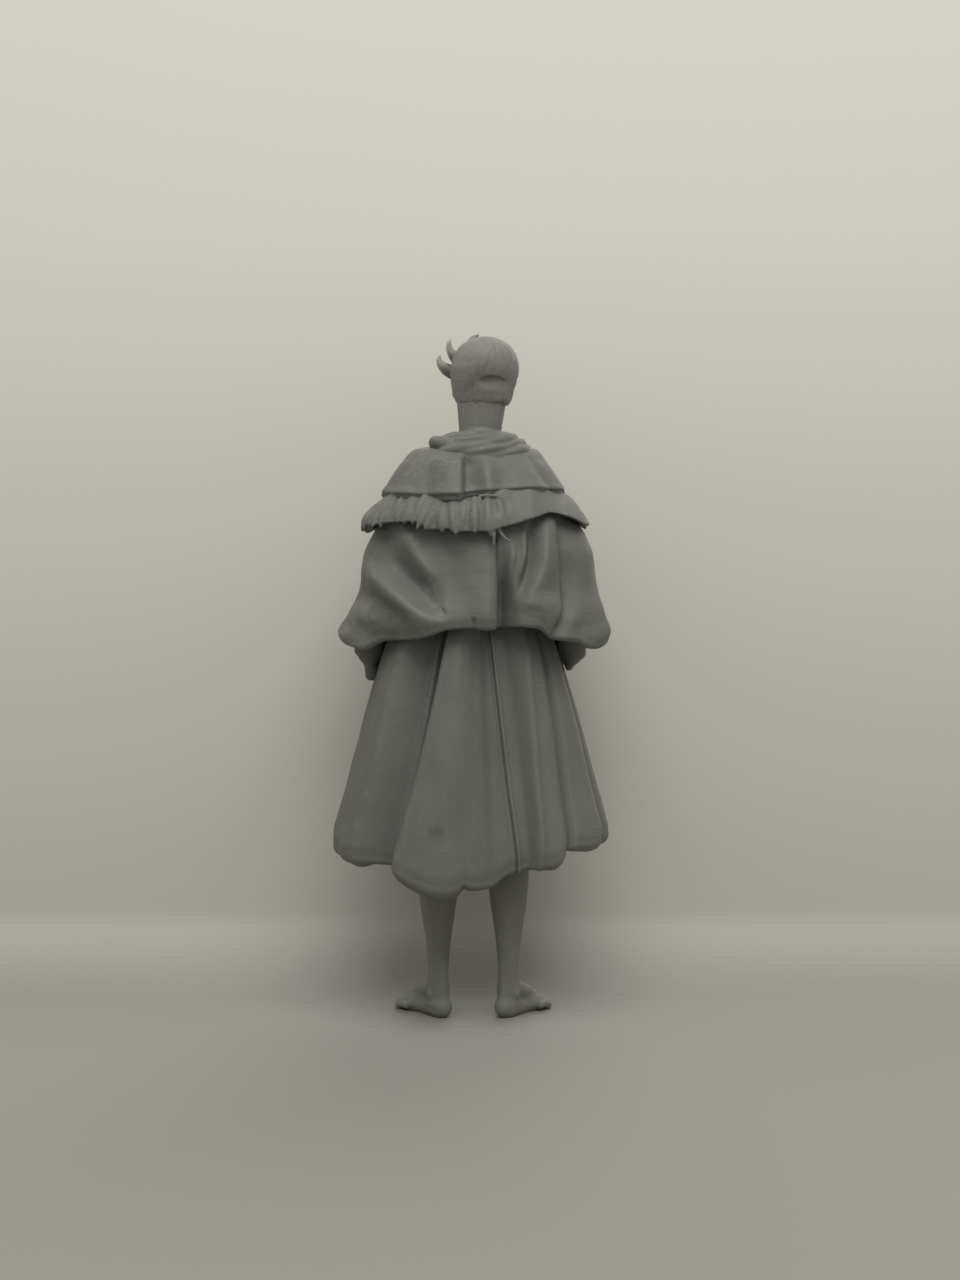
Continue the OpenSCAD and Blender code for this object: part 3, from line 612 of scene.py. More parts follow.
def capelet():
    rows, cols = 84, 480
    t = np.linspace(0, 1, rows)[:, None]
    a = np.linspace(0, 2 * np.pi, cols, endpoint=False)[None, :]
    way = ellipse_way(a + 0 * t)
    back = step(np.sin(a), -0.2, 0.2)
    x = -0.2 + 4.7 * np.cos(a)
    hem = back * curve(x, CAPELET_HEM_BACK) + (1 - back) * (26.8 + 0.12 * np.sin(9 * a))
    d = (CAPELET_TOP - hem) * (0.45 * t + 0.55 * t ** 1.5)
    # the neckline dips at the back and at the front
    z = CAPELET_TOP - d - 0.42 * np.abs(way[..., 1]) ** 1.5 * (1 - step(d, 0.0, 1.6))
    cx = curve(d, [(0, -0.45), (0.3, -0.25), (3, -0.15)])
    rx, ry = radii(d, CAPELET)
    x = cx + rx * way[..., 0]
    slot = step(FLAP_X - x, -0.11, 0.11) * step(x, SLOT_X - 0.4, SLOT_X + 0.7) * step(YOKE_Z - z, -0.5, 0.3)
    h = strokes(x, z, CAPELET_FOLDS) - (0.16 + 0.2 * step(z, 26.5, 27.1)) * slot
    h += 0.3 * step(x - FLAP_X, -0.11, 0.11) * (1 - step(x, 1.2, 2.8))
    h -= 0.04 * step(YOKE_Z - z, -0.2, 0.2) * step(FLAP_X - x, -0.13, 0.13) * step(x, -2.6, -1.6)
    h *= step(way[..., 1], 0.0, 0.35)
    front = 0.16 * np.abs(np.sin(4.5 * a + 0.5 * np.sin(3 * a))) ** 0.8 - 0.06
    h += front * step(-way[..., 1], -0.1, 0.3)
    h *= step(d, 0.25, 0.9)
    h += 0.05 * bump(z - hem, 0.24, 0.16) - 0.14 * (1 - step(z - hem, 0.0, 0.18))
    p = np.stack([x, ry * way[..., 1] + 0.1, z], -1) + h[..., None] * way
    p += ((noise(p, 0.9, 8) * 0.05 + noise(p, 0.35, 9) * 0.02) * step(d, 0.3, 0.9))[..., None] * way
    kept = lining_rows(rows, 26)
    wall = 0.36 + np.maximum(h[kept], 0) * 0.7
    inner = p[kept] - wall[..., None] * way[kept]
    inner[..., 2] -= 0.3 * (1 - step(d[kept], 0.2, 0.8))
    dress_grid("capelet_cloth", shell(p, inner), "capelet")


capelet()


# Fringe

FRINGE_TOP = 27.7
FRINGE = [
    (24, 6.15, 4.75), (24.8, 6.05, 4.62), (25.4, 5.85, 4.45), (26.2, 5.2, 4.05), (26.9, 4.55, 3.6),
    (27.5, 3.9, 3.15), (28.2, 3.3, 2.8),
]
FRINGE_HEM_BACK = [
    (-6.4, 25.45), (-5.9, 25.2), (-5, 25.5), (-4.1, 25.7), (-3.3, 25.4), (-2.3, 25.05), (-1.4, 24.8),
    (-0.9, 24.65), (0.84, 24.65), (1.1, 24.8), (2, 24.75), (2.7, 25.2), (4, 25.2), (5.06, 25.15),
    (5.7, 25.5),
]
FRINGE_CENTRE = np.array([-0.28, 0.1])
# Two rows of tufts: height of the root, tip above the hem, radius, and angle from one to the next
TUFT_ROWS = [(26.1, -0.06, 0.25, 0.1), (26.75, 0.6, 0.16, 0.15)]


def fringe_hem(x, y):
    back = step(y, -0.8, 0.8)
    return back * curve(x, FRINGE_HEM_BACK) + (1 - back) * (25.15 + 0.15 * np.sin(1.9 * x))


def fringe_point(a, z, out=0.0):
    """Point of the band's outer face at an angle and a height, moved outwards."""
    rx, ry = radii(z, FRINGE)
    return np.array([FRINGE_CENTRE[0] + (rx + out) * math.cos(a),
                     FRINGE_CENTRE[1] + (ry + out) * math.sin(a), z])


def fringe():
    clay = Clay((-6.9, -5.2, 23.6), (6.3, 5.4, 27.95), 0.06)
    x, y, z = clay.xyz
    u, v = x - FRINGE_CENTRE[0], y - FRINGE_CENTRE[1]
    rx, ry = map(np.float32, radii(z[0, 0], FRINGE))
    k0 = np.sqrt((u / rx) ** 2 + (v / ry) ** 2)
    k1 = np.sqrt((u / rx ** 2) ** 2 + (v / ry ** 2) ** 2)
    out = k0 * (k0 - 1) / np.maximum(k1, 1e-3)
    plain = step(-x, 1.8, 2.6) * step(y, -1.5, 0.5)
    # broad folds on the plain stretch, small gathers on the rest
    lift = plain * (0.2 * bump(x, -3.1, 0.5) - 0.16 * bump(x, -4.3, 0.4) + 0.18 * bump(x, -5.3, 0.5))
    lift = lift + (1 - plain) * noise(clay.p * np.float32((1, 1, 0.35)), 0.42, 21) * 0.11
    # tucked in under the hollow of the capelet
    under = step(x, SLOT_X - 0.4, SLOT_X) * step(-x, -FLAP_X - 0.4, -FLAP_X) * step(y, 0.0, 1.0)
    lift = lift - 0.45 * under * step(z, 26.15, 26.55)
    band = np.abs((out - lift) * np.float32(0.8) + 0.22) - 0.22
    clay.d = np.maximum(band, np.maximum(fringe_hem(x, y) - z, z - FRINGE_TOP)).astype(np.float32)
    for root, drop, width, gap in TUFT_ROWS:
        angle = 0.0
        while angle < 2 * math.pi - gap:
            angle += gap * rng.uniform(0.8, 1.3)
            jitter = rng.uniform(-1, 1, 5)
            centre = fringe_point(angle, 25.6)
            if centre[0] < -2.0 and centre[1] > -1.0:
                continue
            if root > 26.5 and SLOT_X - 0.3 < centre[0] < FLAP_X + 0.3 and centre[1] > 0:
                continue
            top = root + 0.2 * jitter[0]
            tip = float(fringe_hem(centre[0], centre[1])) + drop + 0.13 * jitter[1]
            path = []
            for s in np.linspace(0, 1, 6):
                sunk = -0.16 + (0.13 + 0.09 * jitter[3]) * s
                q = fringe_point(angle + 0.045 * jitter[2] * s * s, top + (tip - top) * s, sunk)
                path.append((*q, width * (1 + 0.25 * jitter[4]) * (0.75 + 0.55 * s - 0.95 * s ** 3)))
            clay.strand(path, 0.14)
    # two loose whiskers and a thin frayed loop at the back
    for path in ([(-1.15, 4.55, 24.9, 0.1), (-1.18, 4.62, 24.4, 0.09), (-1.16, 4.6, 24.0, 0.07)],
                 [(-1.4, 4.5, 24.75, 0.09), (-1.65, 4.55, 24.4, 0.085), (-1.95, 4.5, 24.15, 0.07)],
                 [(-0.5, 4.38, 25.5, 0.07), (-0.52, 4.22, 26.0, 0.08), (-0.45, 4.08, 26.42, 0.09),
                  (-0.9, 4.08, 26.46, 0.085), (-1.45, 4.02, 26.42, 0.09), (-1.62, 4.02, 26.05, 0.07)]):
        clay.strand(path, 0.07, count=12)
    dress("fringe_cloth", *clay.mesh(), "fringe")


fringe()


# Scarf

# Radius of the wrapped cowl by height
COWL = [(28.2, 2.95), (28.95, 2.75), (29.3, 2.48), (29.6, 2.28), (29.8, 2.02), (29.95, 1.72), (30.1, 1.4)]
# Folds climb round the neck: angle after the wrap's start, radius and depth under the cowl's face
WRAP_FOLDS = [(0, 0.34, 0.23), (44, 0.24, 0.17)]
WRAP_STARTS = (-57, 33, 123, 213)
SCARF_BORE = 1.2


def scarf():
    clay = Clay((-3.6, -3.0, 28.3), (2.7, 3.4, 30.5), 0.042)
    x, y, z = clay.xyz
    radius = np.hypot(x - NECK[0], y - NECK[1])
    clay.d = np.maximum((radius - curve(z[0, 0], COWL) + 0.08) * 0.8, z - 30.02).astype(np.float32)
    for start in WRAP_STARTS:
        for after, thick, deep in WRAP_FOLDS:
            path = []
            for s in np.linspace(-0.2, 1, 21):
                th = math.radians(start + after + 137 * s)
                level = 28.8 + 1.14 * s + 0.04 * math.sin(3 * th)
                around = curve(np.array([level - 0.05, level, level + 0.05]), COWL)
                out, up = unit((0.1, around[0] - around[2]))
                r = around[1] - deep * out
                swell = thick * (1 + 0.08 * math.sin(2 * th + start))
                wide = swell * (1 - 0.3 * s ** 3) * (0.3 + 0.7 * step(s, -0.2, 0.2))
                px, py = NECK[0] + r * math.cos(th), NECK[1] + r * math.sin(th)
                path.append((px, py, level - deep * up, wide))
            clay.strand(path, 0.09)
    # the rolled end at the back, and a fold that crosses the front
    clay.strand([(0.2, 2.35, 28.95, 0.28), (0.95, 2.05, 29.15, 0.33), (1.55, 1.5, 29.36, 0.36),
                 (1.82, 1.0, 29.44, 0.34)], 0.07, count=10)
    clay.egg((2.1, 0.72, 29.48), (0.16, 0.16, 0.2), 0.08, dig=True)
    clay.strand([(1.45, -1.0, 29.62, 0.3), (0.6, -1.9, 29.4, 0.36), (-0.4, -2.25, 29.05, 0.36),
                 (-1.3, -2.0, 28.8, 0.26)], 0.07, count=12)
    clay.d += (noise(clay.p, 0.6, 31) * 0.035).astype(np.float32)
    clay.limit(SCARF_BORE - radius)
    dress("scarf_cloth", *clay.mesh(), "scarf")


scarf()


# Tunic

TUNIC = [
    (20.3, 2.9, 2.25), (20.6, 3.2, 2.5), (20.95, 3.34, 2.62), (21.35, 3.32, 2.6), (21.62, 3.12, 2.42),
    (21.8, 2.85, 2.2), (22.4, 2.8, 2.15), (24, 2.7, 2.1), (26, 2.65, 2.05), (27.8, 2.4, 1.9),
    (28.6, 1.8, 1.6), (28.9, 1.3, 1.3),
]


def tunic():
    cols = 200
    z = np.concatenate([np.linspace(20.3, 21.9, 44), np.linspace(22.0, 28.9, 40)])[:, None]
    a = np.linspace(0, 2 * np.pi, cols, endpoint=False)[None, :]
    rx, ry = radii(z, TUNIC)
    sash = step(z, 20.4, 20.6) * (1 - step(z, 21.6, 21.75))
    wind = z * 9.0 + 0.8 * np.cos(a - 1.2) + 0.5 * np.sin(2 * a)
    h = sash * (0.1 * np.abs(np.sin(wind)) ** 0.6 - 0.05)
    gathers = (1 - sash) * 0.09 * np.sin(11 * a + 1.3 * np.sin(3 * a))
    h = h + gathers * step(z, 21.7, 22.2) * (1 - step(z, 27.0, 28.6))
    way = ellipse_way(a + 0 * z)
    p = way * np.stack([rx + h, ry + h, 0 * h], -1)
    p[..., :2] += NECK[:2] * step(z, 26.5, 28.9)[..., None]
    p[..., 2] = z
    p += (noise(p, 0.5, 41) * 0.03)[..., None] * way
    rows = len(p)
    side = [f[::-1] for f in grid_faces(rows, cols)[:(rows - 1) * cols]]
    ends = [list(range(cols))[::-1], list(range(cols * (rows - 1), cols * rows))]
    dress("tunic_cloth", p.reshape(-1, 3), side + ends, "torso")


tunic()


# Sleeves

def mirrored(v, side):
    return np.array(v, float) * (SIGN[side], 1, 1)


def sleeve(side):
    sx = SIGN[side]
    low, high = sorted((sx * 1.8, sx * 6.7))
    clay = Clay((low, -5.2, 16.8), (high, 2.3, 25.9), 0.054)
    tip = 17.3 if side == "left" else 17.75
    # upper arm, forearm, and the hanging bag of the sleeve: path, rounding and number of points
    for path, k, count in (
            ([(2.35, 0.0, 25.2, 0.75), (3.6, 0.3, 23.6, 0.85), (4.6, 0.35, 21.9, 0.78)], 0.2, 6),
            ([(4.6, 0.35, 21.7, 0.78), (4.45, -1.4, 20.7, 0.84), (4.1, -2.7, 19.9, 0.84),
              (3.66, -3.8, 19.28, 0.84)], 0.3, 10),
            ([(4.75, 0.3, 21.4, 0.75), (5.25, -0.1, 19.9, 0.84), (5.32, -0.45, 18.8, 0.68),
              (5.2, -0.7, tip + 0.28, 0.27)], 0.4, 10),
            ([(4.4, -1.8, 20.1, 0.75), (4.95, -1.3, 18.95, 0.66), (5.15, -0.85, tip + 0.36, 0.3)], 0.4, 8)):
        clay.strand([(sx * x, y, z, r) for x, y, z, r in path], k, count=count)
    wrist, axis = mirrored(WRIST, side), mirrored(FOREARM, side)
    from_wrist, down = clay.p - np.float32(wrist), np.float32(axis)
    along = from_wrist @ down
    radial = np.linalg.norm(from_wrist - along[..., None] * down, axis=-1)
    # soft folds that run from the elbow to the cuff
    over = from_wrist @ np.float32(unit(np.cross(axis, (1, 0, 0))))
    ripple = np.sin(6.6 * over + 2.2 * noise(clay.p, 1.1, 53)) * step(-along, 0.4, 1.2)
    clay.d += (0.065 * ripple + noise(clay.p, 0.7, 51) * 0.05).astype(np.float32)
    # the cuff: a soft rolled rim, cut across the wrist, with an open mouth
    side_a = unit(np.cross(axis, (0, 0, 1)))
    side_b = np.cross(axis, side_a)
    rim = wrist - 0.14 * axis
    ring = []
    for th in np.linspace(0, 2 * np.pi, 25):
        q = rim + 0.7 * (math.cos(th) * side_a + math.sin(th) * side_b)
        ring.append((*q, 0.17 + 0.02 * math.sin(3 * th)))
    clay.strand(ring, 0.18)
    clay.limit(np.where(radial < 1.6, along - 0.1, -1))
    clay.rod(wrist - 0.7 * axis, wrist + 0.6 * axis, 0.54, 0.66, 0.08, dig=True)
    dress(f"{side}_sleeve_cloth", *clay.mesh(), f"{side}_sleeve")


# Hands

def hand(side):
    wrist, axis = mirrored(WRIST, side), mirrored(FOREARM, side)
    reach = mirrored(unit((-0.408, -0.429, -0.806)), side)
    across = mirrored(unit((0.0, -0.883, 0.47)), side)
    palm = np.cross(reach, across) * SIGN[side]
    heel = wrist + 0.65 * axis

    def at(u, v, w=0.0):
        return heel + u * reach + v * across + w * palm

    points = np.array([wrist - 0.5 * axis, at(2.6, 0.9), at(2.6, -0.9), at(0, 0.9), at(0, -0.9)])
    clay = Clay(points.min(0) - 0.45, points.max(0) + 0.45, 0.026)
    clay.rod(wrist - 0.6 * axis, heel, 0.43, 0.4, 0.1)
    flat = (palm, 1.15)
    for v0, v1, r0, r1 in ((-0.2, -0.46, 0.28, 0.22), (-0.06, -0.16, 0.3, 0.23), (0.08, 0.15, 0.3, 0.23),
                           (0.2, 0.44, 0.28, 0.22)):
        clay.rod(at(0.05, v0), at(1.1, v1), r0, r1, 0.16, squeeze=flat)
    # four fingers, a little bent towards the palm, and the thumb
    for v0, v1, length, r in ((-0.47, -0.54, 0.86, 0.145), (-0.16, -0.18, 1.1, 0.16),
                              (0.15, 0.16, 1.18, 0.165), (0.45, 0.5, 1.06, 0.16)):
        path = [(*at(1.05, v0), r * 1.12), (*at(1.05 + 0.42 * length, v0 * 0.6 + v1 * 0.4, 0.03), r * 1.02),
                (*at(1.05 + 0.75 * length, v1, 0.1), r * 0.95), (*at(1.05 + length, v1, 0.2), r * 0.75)]
        clay.strand(path, 0.05, count=8)
    clay.strand([(*at(0.2, 0.28, 0.08), 0.26), (*at(0.58, 0.6, 0.18), 0.21), (*at(0.98, 0.72, 0.27), 0.175),
                 (*at(1.3, 0.7, 0.34), 0.13)], 0.1, count=8)
    clay.egg(at(0.6, 0.0, 0.46), (0.28, 0.28, 0.28), 0.15, dig=True)
    add_piece(f"{side}_hand_skin", *clay.mesh(), SKIN, f"{side}_hand", "resin_body", f"{side}_hand")


# Legs

CALF = [
    (0, 0.5, 0.6), (1.2, 0.55, 0.62), (2.2, 0.52, 0.6), (3, 0.57, 0.62), (4.2, 0.69, 0.76),
    (5.2, 0.84, 0.93), (6.2, 0.97, 1.06), (7.4, 1.04, 1.12), (8.8, 0.98, 1.02), (10.2, 0.95, 1),
    (12.2, 1.12, 1.15),
]
CALF_BACK = [(0, 0), (1.2, 0.02), (2.4, 0.05), (4.2, 0.05), (6.2, 0.18), (7.4, 0.22), (8.8, 0.1), (12.2, 0)]
TOE_OUT = math.radians(36)


def leg(side):
    sx, axis_x = SIGN[side], LEG_X[side]
    toe = np.array([sx * math.sin(TOE_OUT), -math.cos(TOE_OUT), 0])
    inner = np.array([-sx * math.cos(TOE_OUT), -math.sin(TOE_OUT), 0])
    ankle = np.array([axis_x, LEG_Y, 0])
    up = np.array([0, 0, 1.0])
    turn = np.array([toe, inner, up])

    def at(u, v, w):
        return ankle + u * toe + v * inner + w * up

    def egg(u, v, w, r, k, dig=False):
        clay.egg(at(u, v, w), r, k, dig, turn)

    reach = np.array([at(3.7, 0.6, 0), at(3.7, -0.9, 0), ankle - 1.5, ankle + 1.5])
    low, high = reach.min(0) - 0.1, reach.max(0) + 0.1
    low[2], high[2] = -0.12, 12.15
    clay = Clay(low, high, 0.046)
    x, y, z = clay.xyz
    level = z[0, 0]
    rx, ry = map(np.float32, radii(level, CALF))
    middle = (LEG_Y + curve(level, CALF_BACK)).astype(np.float32)
    calf = oval_distance(x - axis_x, y - middle, rx, ry)
    clay.d = np.maximum(calf, np.maximum(0.7 - z, z - 12.0)).astype(np.float32)
    # ankle bones, heel cord, heel, instep and ball of the foot
    egg(0.02, 0.48, 1.28, (0.2, 0.2, 0.26), 0.12)
    egg(-0.06, -0.48, 1.16, (0.2, 0.2, 0.26), 0.12)
    clay.rod(at(-0.48, 0, 0.7), at(-0.42, 0, 2.6), 0.24, 0.2, 0.2)
    egg(-0.32, 0, 0.5, (0.56, 0.5, 0.54), 0.25)
    clay.rod(at(0.12, 0, 1.45), at(1.7, 0.06, 0.84), 0.5, 0.44, 0.3)
    clay.rod(at(0.0, -0.05, 0.45), at(1.9, -0.12, 0.3), 0.5, 0.34, 0.3)
    egg(2.0, -0.02, 0.4, (0.75, 0.82, 0.46), 0.3)
    egg(2.15, 0.5, 0.32, (0.42, 0.34, 0.32), 0.15)
    for v, start, end, r in ((0.52, 2.2, 3.26, 0.34), (0.1, 2.25, 3.15, 0.26), (-0.23, 2.15, 3.0, 0.25),
                             (-0.52, 2.0, 2.78, 0.24), (-0.76, 1.8, 2.5, 0.22)):
        middle = (start + end) / 2
        clay.strand([(*at(start, v, 0.34), r), (*at(middle, v, r + 0.12), r * 0.92),
                     (*at(end, v * 1.02, r), r)], 0.05, count=6)
        egg(end + r * 0.55, v * 1.02, r + 0.12, (0.1, r * 0.62, 0.06), 0.03, True)
    egg(0.85, 0.78, 0.0, (0.75, 0.32, 0.28), 0.2, True)
    clay.limit(-z)
    points, faces = clay.mesh()
    points[:, 2] = np.maximum(points[:, 2], 0)
    add_piece(f"{side}_leg_skin", points, faces, SKIN, "figure", "resin_body", f"{side}_leg")


for build in (sleeve, hand, leg):
    for side in SIGN:
        build(side)


# Head

HEAD_BOX = (-2.75, -2.6, 29.1), (2.05, 2.25, 35.35)
HEAD_CELL = 0.033
NECK_R = 1.13


def head():
    clay = Clay(*HEAD_BOX, HEAD_CELL)

    # shapes off the middle come in pairs
    def places(*points):
        for s in (1, -1) if points[0][0] else (1,):
            yield [HEAD + np.array(q) * (s, 1, 1) for q in points]

    def egg(c, r, k, dig=False):
        for (centre,) in places(c):
            clay.egg(centre, r, k, dig)

    def rod(a, b, ra, rb, k, dig=False):
        for start, end in places(a, b):
            clay.rod(start, end, ra, rb, k, dig)

    # skull, face, jaw and neck
    egg((0, 0.22, 0.12), (1.42, 1.62, 1.36), 0.1)
    egg((0, -0.55, -0.78), (1.1, 1.1, 1.52), 0.5)
    rod((0.92, 0.0, -1.25), (0.24, -1.38, -1.98), 0.36, 0.3, 0.35)
    egg((0, -1.36, -2.0), (0.36, 0.29, 0.32), 0.2)
    egg((0, -1.24, -1.44), (0.46, 0.43, 0.4), 0.25)
    clay.rod((NECK[0], NECK[1], 28.5), (NECK[0], NECK[1], 29.6), NECK_R, NECK_R, 0.1)
    nape = HEAD + (0.12, 0.28, -1.2)
    clay.rod((NECK[0], NECK[1], 30.2), nape, 1.1, 1.32, 0.05, squeeze=((0, 1, 0), 1.15))
    rod((0.95, 0.25, -1.3), (0.22, -0.42, -3.6), 0.2, 0.14, 0.25)
    # brow, cheeks and eye sockets
    egg((0.8, -1.02, -0.72), (0.42, 0.42, 0.36), 0.3)
    rod((0.2, -1.5, 0.08), (0.86, -1.26, 0.06), 0.16, 0.12, 0.18)
    egg((0.52, -1.74, -0.23), (0.4, 0.3, 0.22), 0.12, True)
    # eyes with their lids
    egg((0.52, -1.27, -0.26), (0.31, 0.3, 0.26), 0.03)
    egg((0.52, -1.62, -0.265), (0.25, 0.16, 0.095), 0.025, True)
    egg((0.52, -1.27, -0.265), (0.245, 0.245, 0.2), 0.02)
    rod((0.3, -1.58, -0.05), (0.74, -1.48, -0.07), 0.03, 0.025, 0.05, True)
    # nose
    rod((0, -1.48, 0.0), (0, -1.8, -0.84), 0.12, 0.15, 0.14)
    egg((0, -1.8, -0.88), (0.17, 0.17, 0.15), 0.08)
    egg((0, -1.56, -0.94), (0.2, 0.28, 0.16), 0.08)
    egg((0.17, -1.62, -0.97), (0.12, 0.17, 0.11), 0.08)
    egg((0.09, -1.72, -1.09), (0.045, 0.07, 0.04), 0.04, True)
    # mouth and chin
    egg((0.13, -1.62, -1.42), (0.26, 0.15, 0.085), 0.08)
    egg((0, -1.6, -1.575), (0.28, 0.16, 0.1), 0.08)
    mouth = [(-0.38, -1.6, -1.48), (-0.15, -1.76, -1.49), (0, -1.77, -1.505), (0.15, -1.76, -1.49),
             (0.38, -1.6, -1.48)]
    clay.strand([(*(HEAD + q), 0.012) for q in mouth], 0.05, dig=True)
    egg((0, -1.76, -1.78), (0.26, 0.12, 0.07), 0.12, True)
    rod((0, -1.8, -1.22), (0, -1.78, -1.34), 0.02, 0.03, 0.08, True)
    # ears: a disc with a rim and a lobe
    egg((1.36, 0.2, -0.62), (0.12, 0.24, 0.4), 0.08)
    rim = [(1.36, 0.0, -0.42), (1.48, 0.14, -0.22), (1.54, 0.4, -0.34), (1.5, 0.4, -0.68),
           (1.41, 0.2, -0.98)]
    for path in places(*rim):
        clay.strand([(*q, 0.085) for q in path], 0.04, count=12)
    egg((1.36, 0.08, -0.98), (0.09, 0.14, 0.15), 0.06)
    x, y, z = clay.xyz
    # the neck is round where it turns in the scarf
    clay.limit(np.hypot(x - NECK[0], y - NECK[1]) - NECK_R - 4 * np.maximum(z - 30.5, 0))
    clay.limit(29.2 - z)
    add_piece("head_skin", *clay.mesh(), SKIN, "head", "resin_body", "head")
    return clay.d


HEAD_DISTANCE = head()


# Hair

# Front locks: x of root and tip, heights of root and tip above the head's middle
FRONT_LOCKS = [
    (-0.95, -1.34, 0.95, -0.25), (-0.7, -1.18, 1, 0.12), (-0.4, -0.9, 1.1, 0.36), (-0.1, -0.55, 1.15, 0.3),
    (0.15, -0.28, 1.15, 0.52), (0.45, 0.05, 1.1, 0.4), (0.66, 0.36, 1.05, 0.55), (0.86, 0.66, 1, 0.32),
    (1.05, 1, 0.9, 0.26), (1.18, 1.24, 0.75, -0.05), (1.28, 1.42, 0.55, -0.5),
]
# Curled locks that stand off the left side
CURLS = [
    [(0.7, -0.8, 33.24, 0.36), (1.1, -0.66, 33.4, 0.34), (1.44, -0.46, 33.58, 0.28),
     (1.64, -0.26, 33.84, 0.19), (1.6, -0.1, 34.12, 0.06)],
    [(0.5, -0.62, 33.85, 0.32), (0.86, -0.5, 34.12, 0.3), (1.09, -0.34, 34.44, 0.23),
     (1.12, -0.18, 34.72, 0.16), (1.03, -0.04, 34.96, 0.05)],
    [(0, 0, 34.72, 0.24), (-0.16, 0.02, 34.98, 0.16), (-0.4, 0.03, 35.15, 0.06)],
]
# Each lock is three strands: shift along Y, radius and shift along Z, as shares of the lock's radius
CURL_STRANDS = [(-0.8, 0.66, -0.32), (0, 0.8, 0.2), (0.8, 0.7, -0.1)]
# Half width and depth of the nape by height, from the head's middle
NAPE = [
    (-2.1, 1.24, 1.2), (-1.85, 1.36, 1.27), (-1.45, 1.54, 1.41), (-0.95, 1.66, 1.58), (-0.45, 1.73, 1.72),
    (0, 1.72, 1.76), (0.5, 1.45, 1.5),
]


def hair():
    clay = Clay(*HEAD_BOX, HEAD_CELL)
    p = clay.p - np.float32(HEAD)
    x, y, z = (p[..., k] for k in range(3))

    def egg(c, r):
        return egg_distance(p - np.float32(c), np.float32(r))

    # strands run down from a whorl at the back of the crown, in uneven clumps
    whorl = (-0.12, 0.75, 1.5)
    around = np.arctan2(x - whorl[0], y - whorl[1] - 0.25 * (z - whorl[2]))
    warp = noise(clay.p, 0.8, 61)
    away = step(np.hypot(x - whorl[0], y - whorl[1]), 0.2, 1.1)
    coarse, fine = 11 * around + 3.5 * warp + 0.8 * z, 29 * around + 5.0 * warp + 1.6 * z
    clumps = 0.022 * np.sin(coarse) + 0.012 * np.sin(fine)
    locks = away * (0.5 + 0.5 * noise(clay.p, 1.3, 62) + 0.7 * step(-z, 0.4, 1.4)) * clumps
    crown = egg((-0.06, 0.18, 0.2), (1.76, 1.9, 1.6)) - locks
    # the nape is set back under a curved ledge, except for the lobe on the left
    under = np.exp(-(((x + 0.45) / 0.8) ** 4)) * (1 - step(x, 0.36, 0.5))
    level = z[0, 0]
    wide, deep = map(np.float32, radii(level, NAPE))
    deep = deep - 0.19 * under * step(-z, 0.3, 0.5) * (1 - 0.85 * step(-z, 0.56, 1.25))
    nape = oval_distance(x - 0.03, y - 0.15, wide, deep) - locks
    ledge = -0.47 - 0.1 * ((x + 0.43) / 0.77) ** 2 * under - 0.3 * (1 - under)
    crown = np.maximum(crown, (ledge - z) * 0.8)
    hairline = -1.8 + 0.07 * noise(clay.p, 0.34, 63) + 0.09 * noise(clay.p, 0.15, 64)
    front = -0.1 + 0.5 * step(-z, 0.4, 1.9)
    nape = -smooth_min(-np.maximum(nape, z - 0.5), -np.maximum(hairline - z, front - y), 0.2)
    clay.d = smooth_min(nape, crown, 0.05 + 0.2 * (1 - under)).astype(np.float32)
    # the face opening
    clay.limit(-egg((0, -2.1, -1.0), (1.28, 1.62, 1.86)))
    for x0, x1, top, tip in FRONT_LOCKS:
        y0, y1 = -1.25 + 0.21 * x0 * x0, -1.58 + 0.4 * x1 * x1
        middle = (x0 + x1) / 2, (y0 + y1) / 2 - 0.1, (top + tip) / 2, 0.18
        lock = np.array([(x0, y0, top, 0.1), middle, (x1, y1, tip, 0.05)])
        clay.strand(lock + (*HEAD, 0), 0.09, count=8)
    for path in CURLS:
        for shift, share, bend in CURL_STRANDS:
            strand = [(x, y + shift * r, z + bend * r, share * r) for x, y, z, r in path]
            clay.strand(strand, 0.02, count=12)
    # the ears stand free
    for s in (1, -1):
        clay.egg(HEAD + (s * 1.55, 0.14, -0.7), (0.55, 0.38, 0.55), 0.06, dig=True)
    # the hair lies on the head, a little sunk in
    clay.limit(-0.03 - HEAD_DISTANCE)
    add_piece("hair_locks", *clay.mesh(), HAIR, "head", "resin_hair", "hair")


hair()

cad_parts["hips"].data.materials.clear()
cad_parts["hips"].data.materials.append(GARMENT)


# Stage, light and camera

# Colour of the pale sheet by height, from the floor up: painted shade, darkest at the floor and brighter up
# the backdrop towards the top
SHEET_TOP = 42.0
SHEET_PAINTED_SHADE = [(0, (0.25, 0.243, 0.222)), (3.2, (0.475, 0.463, 0.427)), (SHEET_TOP, (0.67, 0.655, 0.604))]


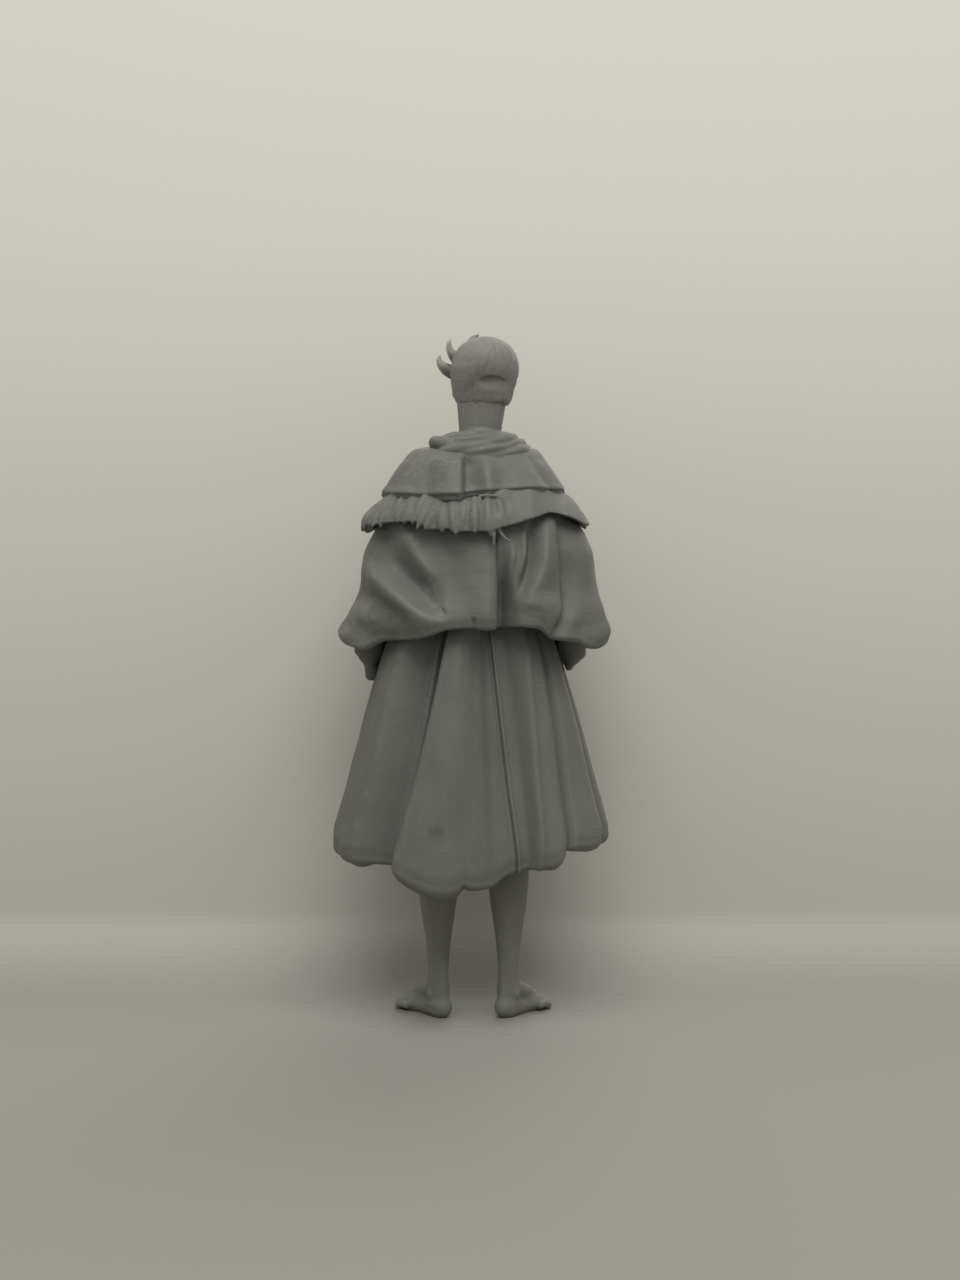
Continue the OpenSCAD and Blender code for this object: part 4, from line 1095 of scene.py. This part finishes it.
def sheet_material():
    """Pale sheet with painted shade, darker at the floor and brighter towards the top, that lets the view
    and the lamps through from behind.
    """
    m, tree, shader = new_material("pale_sheet")
    place = add_node(tree, "ShaderNodeTexCoord", "Object")
    height = add_node(tree, "ShaderNodeSeparateXYZ", "Z", {"Vector": place})
    share = add_node(tree, "ShaderNodeMath", "Value", {0: height, 1: SHEET_TOP * MM}, operation="DIVIDE")
    tone = add_node(tree, "ShaderNodeValToRGB", "Color", {"Fac": share})
    stops = tone.node.color_ramp.elements
    stops.new(0.5)
    for stop, (level, colour) in zip(stops, SHEET_PAINTED_SHADE):
        stop.position = level / SHEET_TOP
        stop.color = (*colour, 1)
    feed(tree, shader, {"Base Color": tone, "Roughness": 0.9, "Specular IOR Level": 0.1})
    behind = add_node(tree, "ShaderNodeNewGeometry", "Backfacing")
    shadow = add_node(tree, "ShaderNodeLightPath", "Is Shadow Ray")
    through = add_node(tree, "ShaderNodeMath", "Value", {0: behind, 1: shadow}, operation="MAXIMUM")
    clear = add_node(tree, "ShaderNodeBsdfTransparent", "BSDF")
    mix = {"Fac": through, 1: shader.outputs["BSDF"], 2: clear}
    surface = add_node(tree, "ShaderNodeMixShader", "Shader", mix)
    feed(tree, tree.nodes["Material Output"], {"Surface": surface})
    return m


def stage_sheet(name, profile, half_width, material):
    xs = np.linspace(-half_width, half_width, 9)
    points = np.array([(x, y, z) for y, z in profile for x in xs])
    n = len(xs)
    faces = [(r * n + c, r * n + c + 1, (r + 1) * n + c + 1, (r + 1) * n + c)
             for r in range(len(profile) - 1) for c in range(n - 1)]
    sheet = new_object(name, points, faces, material)


SHEET = sheet_material()
# The backdrop's curve at the floor, its top and half width; the floor's ends and half width
SWEEP_Y, SWEEP_R = -2.8, 4.2
BACKDROP_TOP, BACKDROP_HALF = 58, 34
FLOOR_END, FLOOR_HALF = 140, 150
turns = np.linspace(0, math.pi / 2, 24)
sweep = [(SWEEP_Y - SWEEP_R * math.sin(th), SWEEP_R * (1 - math.cos(th))) for th in turns]
sweep += [(SWEEP_Y - SWEEP_R, z) for z in np.linspace(SWEEP_R, BACKDROP_TOP, 20)[1:]]
stage_sheet("backdrop", sweep[::-1], BACKDROP_HALF, SHEET)
stage_sheet("floor", [(-FLOOR_END, 0.0), (FLOOR_END, 0.0)], FLOOR_HALF, SHEET)


def area_light(name, place, aim_at, size, power, colour):
    data = bpy.data.lights.new(name, "AREA")
    data.shape = "DISK"
    data.size = size * MM
    data.energy = power
    data.color = colour
    lamp = bpy.data.objects.new(name, data)
    lamp.location = Vector(place) * MM
    lamp.rotation_euler = (Vector(aim_at) - Vector(place)).to_track_quat("-Z", "Y").to_euler()
    scene.collection.objects.link(lamp)


area_light("key", place=(-12, 112, 200), aim_at=(0, 0, 20), size=190, power=0.37,
           colour=(1.0, 0.985, 0.95))
area_light("front_fill", place=(-40, -170, 130), aim_at=(0, 0, 18), size=200, power=0.3,
           colour=(1.0, 0.99, 0.97))

# The light around, and the plain tone that the view, reflections and clear materials get instead
SKY = {"Color": (0.8, 0.8, 0.77, 1), "Strength": 0.66}
SEEN = {"Color": (0.6, 0.59, 0.54, 1)}
world = bpy.data.worlds.new("pale")
world.use_nodes = True
tree = world.node_tree
rays = tree.nodes.new("ShaderNodeLightPath")
shown = rays.outputs["Is Camera Ray"]
for kind in ("Is Glossy Ray", "Is Transmission Ray"):
    either = {0: shown, 1: rays.outputs[kind]}
    shown = add_node(tree, "ShaderNodeMath", "Value", either, operation="MAXIMUM")
sky = tree.nodes["Background"]
feed(tree, sky, SKY)
seen = add_node(tree, "ShaderNodeBackground", "Background", SEEN)
mix = add_node(tree, "ShaderNodeMixShader", "Shader", {"Fac": shown, 1: sky.outputs[0], 2: seen})
feed(tree, tree.nodes["World Output"], {"Surface": mix})
scene.world = world

# The photo's view: level, from behind the figure
LENS, SENSOR = 44.95, 36
CAMERA_PLACE = (-0.49, 83.0, 19.32)
CLIP_START, CLIP_END = 0.002, 5
camera = bpy.data.objects.new("camera", bpy.data.cameras.new("camera"))
scene.collection.objects.link(camera)
camera.data.lens = LENS
camera.data.sensor_width = SENSOR
camera.data.clip_start = CLIP_START
camera.data.clip_end = CLIP_END
camera.location = Vector(CAMERA_PLACE) * MM
camera.rotation_euler = (math.radians(90), 0, math.radians(180))
scene.camera = camera
